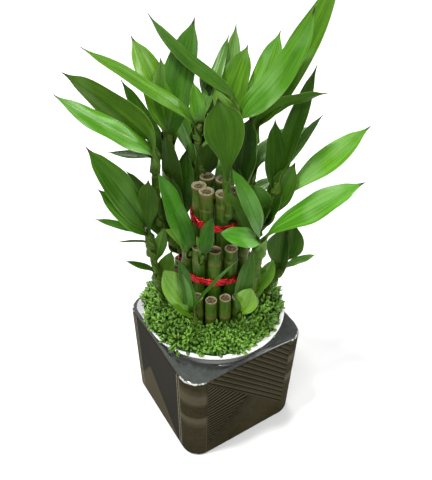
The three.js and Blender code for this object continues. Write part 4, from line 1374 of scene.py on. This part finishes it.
# Painted shade: each leaflet darkens towards the foot of its sprig.
shaded = moss_green.mix(1.0, green, (0.25, 0.35, 0.2, 1), blend="MULTIPLY")
green = moss_green.mix(moss_green.remap(moss_green.attribute("up"), 0.0, 0.7), shaded, green)
grain = moss_green.noise(where, 1200.0)
moss_green.surface(
    Base_Color=moss_green.mix(moss_green.remap(grain, 0.4, 0.7, 0, 0.3), green, (0.30, 0.50, 0.09, 1)),
    Roughness=0.28,
    Normal=moss_green.bump(grain, 0.2, 0.0003),
)
thatch = Finish("moss_thatch")
where = thatch.place()
rootlets = thatch.noise(where, 600.0, detail=4.0)
woven = thatch.remap(rootlets, 0.35, 0.65)
thatch.surface(
    Base_Color=thatch.mix(woven, (0.008, 0.030, 0.002, 1), (0.026, 0.085, 0.006, 1)),
    Roughness=0.8,
    Specular_IOR_Level=0.1,
    Normal=thatch.bump(rootlets, 0.8, 0.001),
)


def sprig_mesh():
    """Five oval leaflets fanned out from one foot, each with a keel underneath."""
    points = []
    faces = []
    ups = []
    for number, tilt in enumerate(SPRIG_TILTS):
        turn = math.radians(72 * number + 11 * (number % 2))
        lean = math.radians(tilt)
        ahead = Vector((math.sin(lean) * math.cos(turn), math.sin(lean) * math.sin(turn), math.cos(lean)))
        side = Vector((-math.sin(turn), math.cos(turn), 0))
        over = side.cross(ahead)
        first = len(points)
        points += [ahead * 0.2]
        for share, half, drop in ((0.36, 1.55, 0), (0.74, 1.45, 0.4)):
            middle = ahead * SPRIG_LENGTH * share - over * drop
            points += [middle + side * half, middle - over * 0.5, middle - side * half]
        points += [ahead * SPRIG_LENGTH - over * 1.0]
        ups += [0, 0.6, 0.5, 0.6, 0.9, 0.8, 0.9, 1]
        for i in range(3):
            a, b = first + 1 + i, first + 1 + (i + 1) % 3
            faces += [(first, b, a), (a, b, b + 3, a + 3), (first + 7, a + 3, b + 3)]
    mesh = bpy.data.meshes.new("sprig")
    mesh.from_pydata([p * MM for p in points], [], faces)
    mesh.attributes.new("up", "FLOAT", "POINT").data.foreach_set("value", ups)
    mesh.polygons.foreach_set("use_smooth", [True] * len(faces))
    mesh.update()
    return bpy.data.objects.new("sprig", mesh)


def scatter_tree():
    """Scatters copies of the sprig over the faces whose bed value is high."""
    tree = bpy.data.node_groups.new("moss_scatter", "GeometryNodeTree")
    for socket, kind in (
        ("Geometry", "NodeSocketGeometry"),
        ("Sprig", "NodeSocketObject"),
        ("Density", "NodeSocketFloat"),
        ("Seed", "NodeSocketInt"),
        ("Finish", "NodeSocketMaterial"),
    ):
        tree.interface.new_socket(socket, in_out="INPUT", socket_type=kind)
    tree.interface.new_socket("Geometry", in_out="OUTPUT", socket_type="NodeSocketGeometry")
    nodes = Nodes(tree)
    given = nodes.add("NodeGroupInput").outputs
    out = nodes.add("NodeGroupOutput").inputs
    bed = nodes.add("GeometryNodeInputNamedAttribute", {"Name": "bed"}, data_type="FLOAT").outputs[0]
    density = nodes.math("MULTIPLY", bed, given["Density"])
    points = nodes.add(
        "GeometryNodeDistributePointsOnFaces",
        {"Mesh": given["Geometry"], "Density": density, "Seed": given["Seed"]},
    ).outputs
    sprig = nodes.add("GeometryNodeObjectInfo", {"Object": given["Sprig"]}).outputs["Geometry"]
    turn = nodes.add(
        "FunctionNodeRandomValue",
        {0: (-0.45, -0.45, 0), 1: (0.45, 0.45, 6.28), "Seed": 2},
        data_type="FLOAT_VECTOR",
    ).outputs[0]
    turned_points = nodes.add(
        "FunctionNodeRotateRotation",
        {"Rotation": points["Rotation"], "Rotate By": turn},
        rotation_space="LOCAL",
    ).outputs[0]
    size = nodes.add("FunctionNodeRandomValue", {2: 0.72, 3: 1.18, "Seed": 3}, data_type="FLOAT").outputs[1]
    placed = nodes.add(
        "GeometryNodeInstanceOnPoints",
        {"Points": points["Points"], "Instance": sprig, "Rotation": turned_points, "Scale": size},
    ).outputs[0]
    shade = nodes.add("FunctionNodeRandomValue", {2: 0.0, 3: 1.0, "Seed": 4}, data_type="FLOAT").outputs[1]
    tinted = nodes.add(
        "GeometryNodeStoreNamedAttribute",
        {"Geometry": placed, "Name": "tint", "Value": shade},
        data_type="FLOAT",
        domain="INSTANCE",
    ).outputs[0]
    real = nodes.add("GeometryNodeRealizeInstances", {0: tinted}).outputs[0]
    inputs = {"Geometry": real, "Material": given["Finish"]}
    green_set = nodes.add("GeometryNodeSetMaterial", inputs).outputs[0]
    both = nodes.add("GeometryNodeJoinGeometry")
    tree.links.new(green_set, both.inputs[0])
    tree.links.new(given["Geometry"], both.inputs[0])
    nodes.put(both.outputs[0], out["Geometry"])
    return tree


moss_profile = [(45, RIM_TOP + 0.4), (MOSS_EDGE_RADIUS - 1.6, RIM_TOP + 0.4)]
moss_profile += [(r - 1.2 * (i == 0), h + PLANT_LIFT - 2.4) for i, (r, h) in enumerate(MOSS_CROWN[::-1])]
points, faces = turned(moss_profile, MOUND_SIDES)
points = roughened(points, 9, 1.1)
bare = np.clip(np.cos(np.arctan2(points[:, 1], points[:, 0]) - BARE_SIDE), 0, 1) ** 2
points[:, :2] *= 1 - 0.05 * (bare * (np.hypot(*points[:, :2].T) > 54))[:, None]
mound = bpy.data.meshes.new("moss_mound")
mound.from_pydata([tuple(p) for p in place_points(points)], [], faces)
mound.materials.append(thatch.material)
bed = np.repeat(MOUND_BED, MOUND_SIDES)
mound.attributes.new("bed", "FLOAT", "POINT").data.foreach_set("value", bed.astype(np.float32))
face_outwards(mound)
carrier = bpy.data.objects.new("moss_carrier", mound)
bpy.context.collection.objects.link(carrier)
area = sum(face.area for face in mound.polygons)
scatter = carrier.modifiers.new("scatter", "NODES")
scatter.node_group = scatter_tree()
sprig = sprig_mesh()
settings = {"Sprig": sprig, "Density": SPRIGS / area, "Seed": 7, "Finish": moss_green.material}
for item in scatter.node_group.interface.items_tree:
    if item.in_out == "INPUT" and item.name in settings:
        scatter[item.identifier] = settings[item.name]
grown = bpy.data.meshes.new_from_object(carrier.evaluated_get(bpy.context.evaluated_depsgraph_get()))
bpy.data.objects.remove(carrier)
bpy.data.objects.remove(sprig)
moss = bpy.data.objects.new("moss", grown)
bpy.context.collection.objects.link(moss)
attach(moss, "root")
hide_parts("moss_mat")
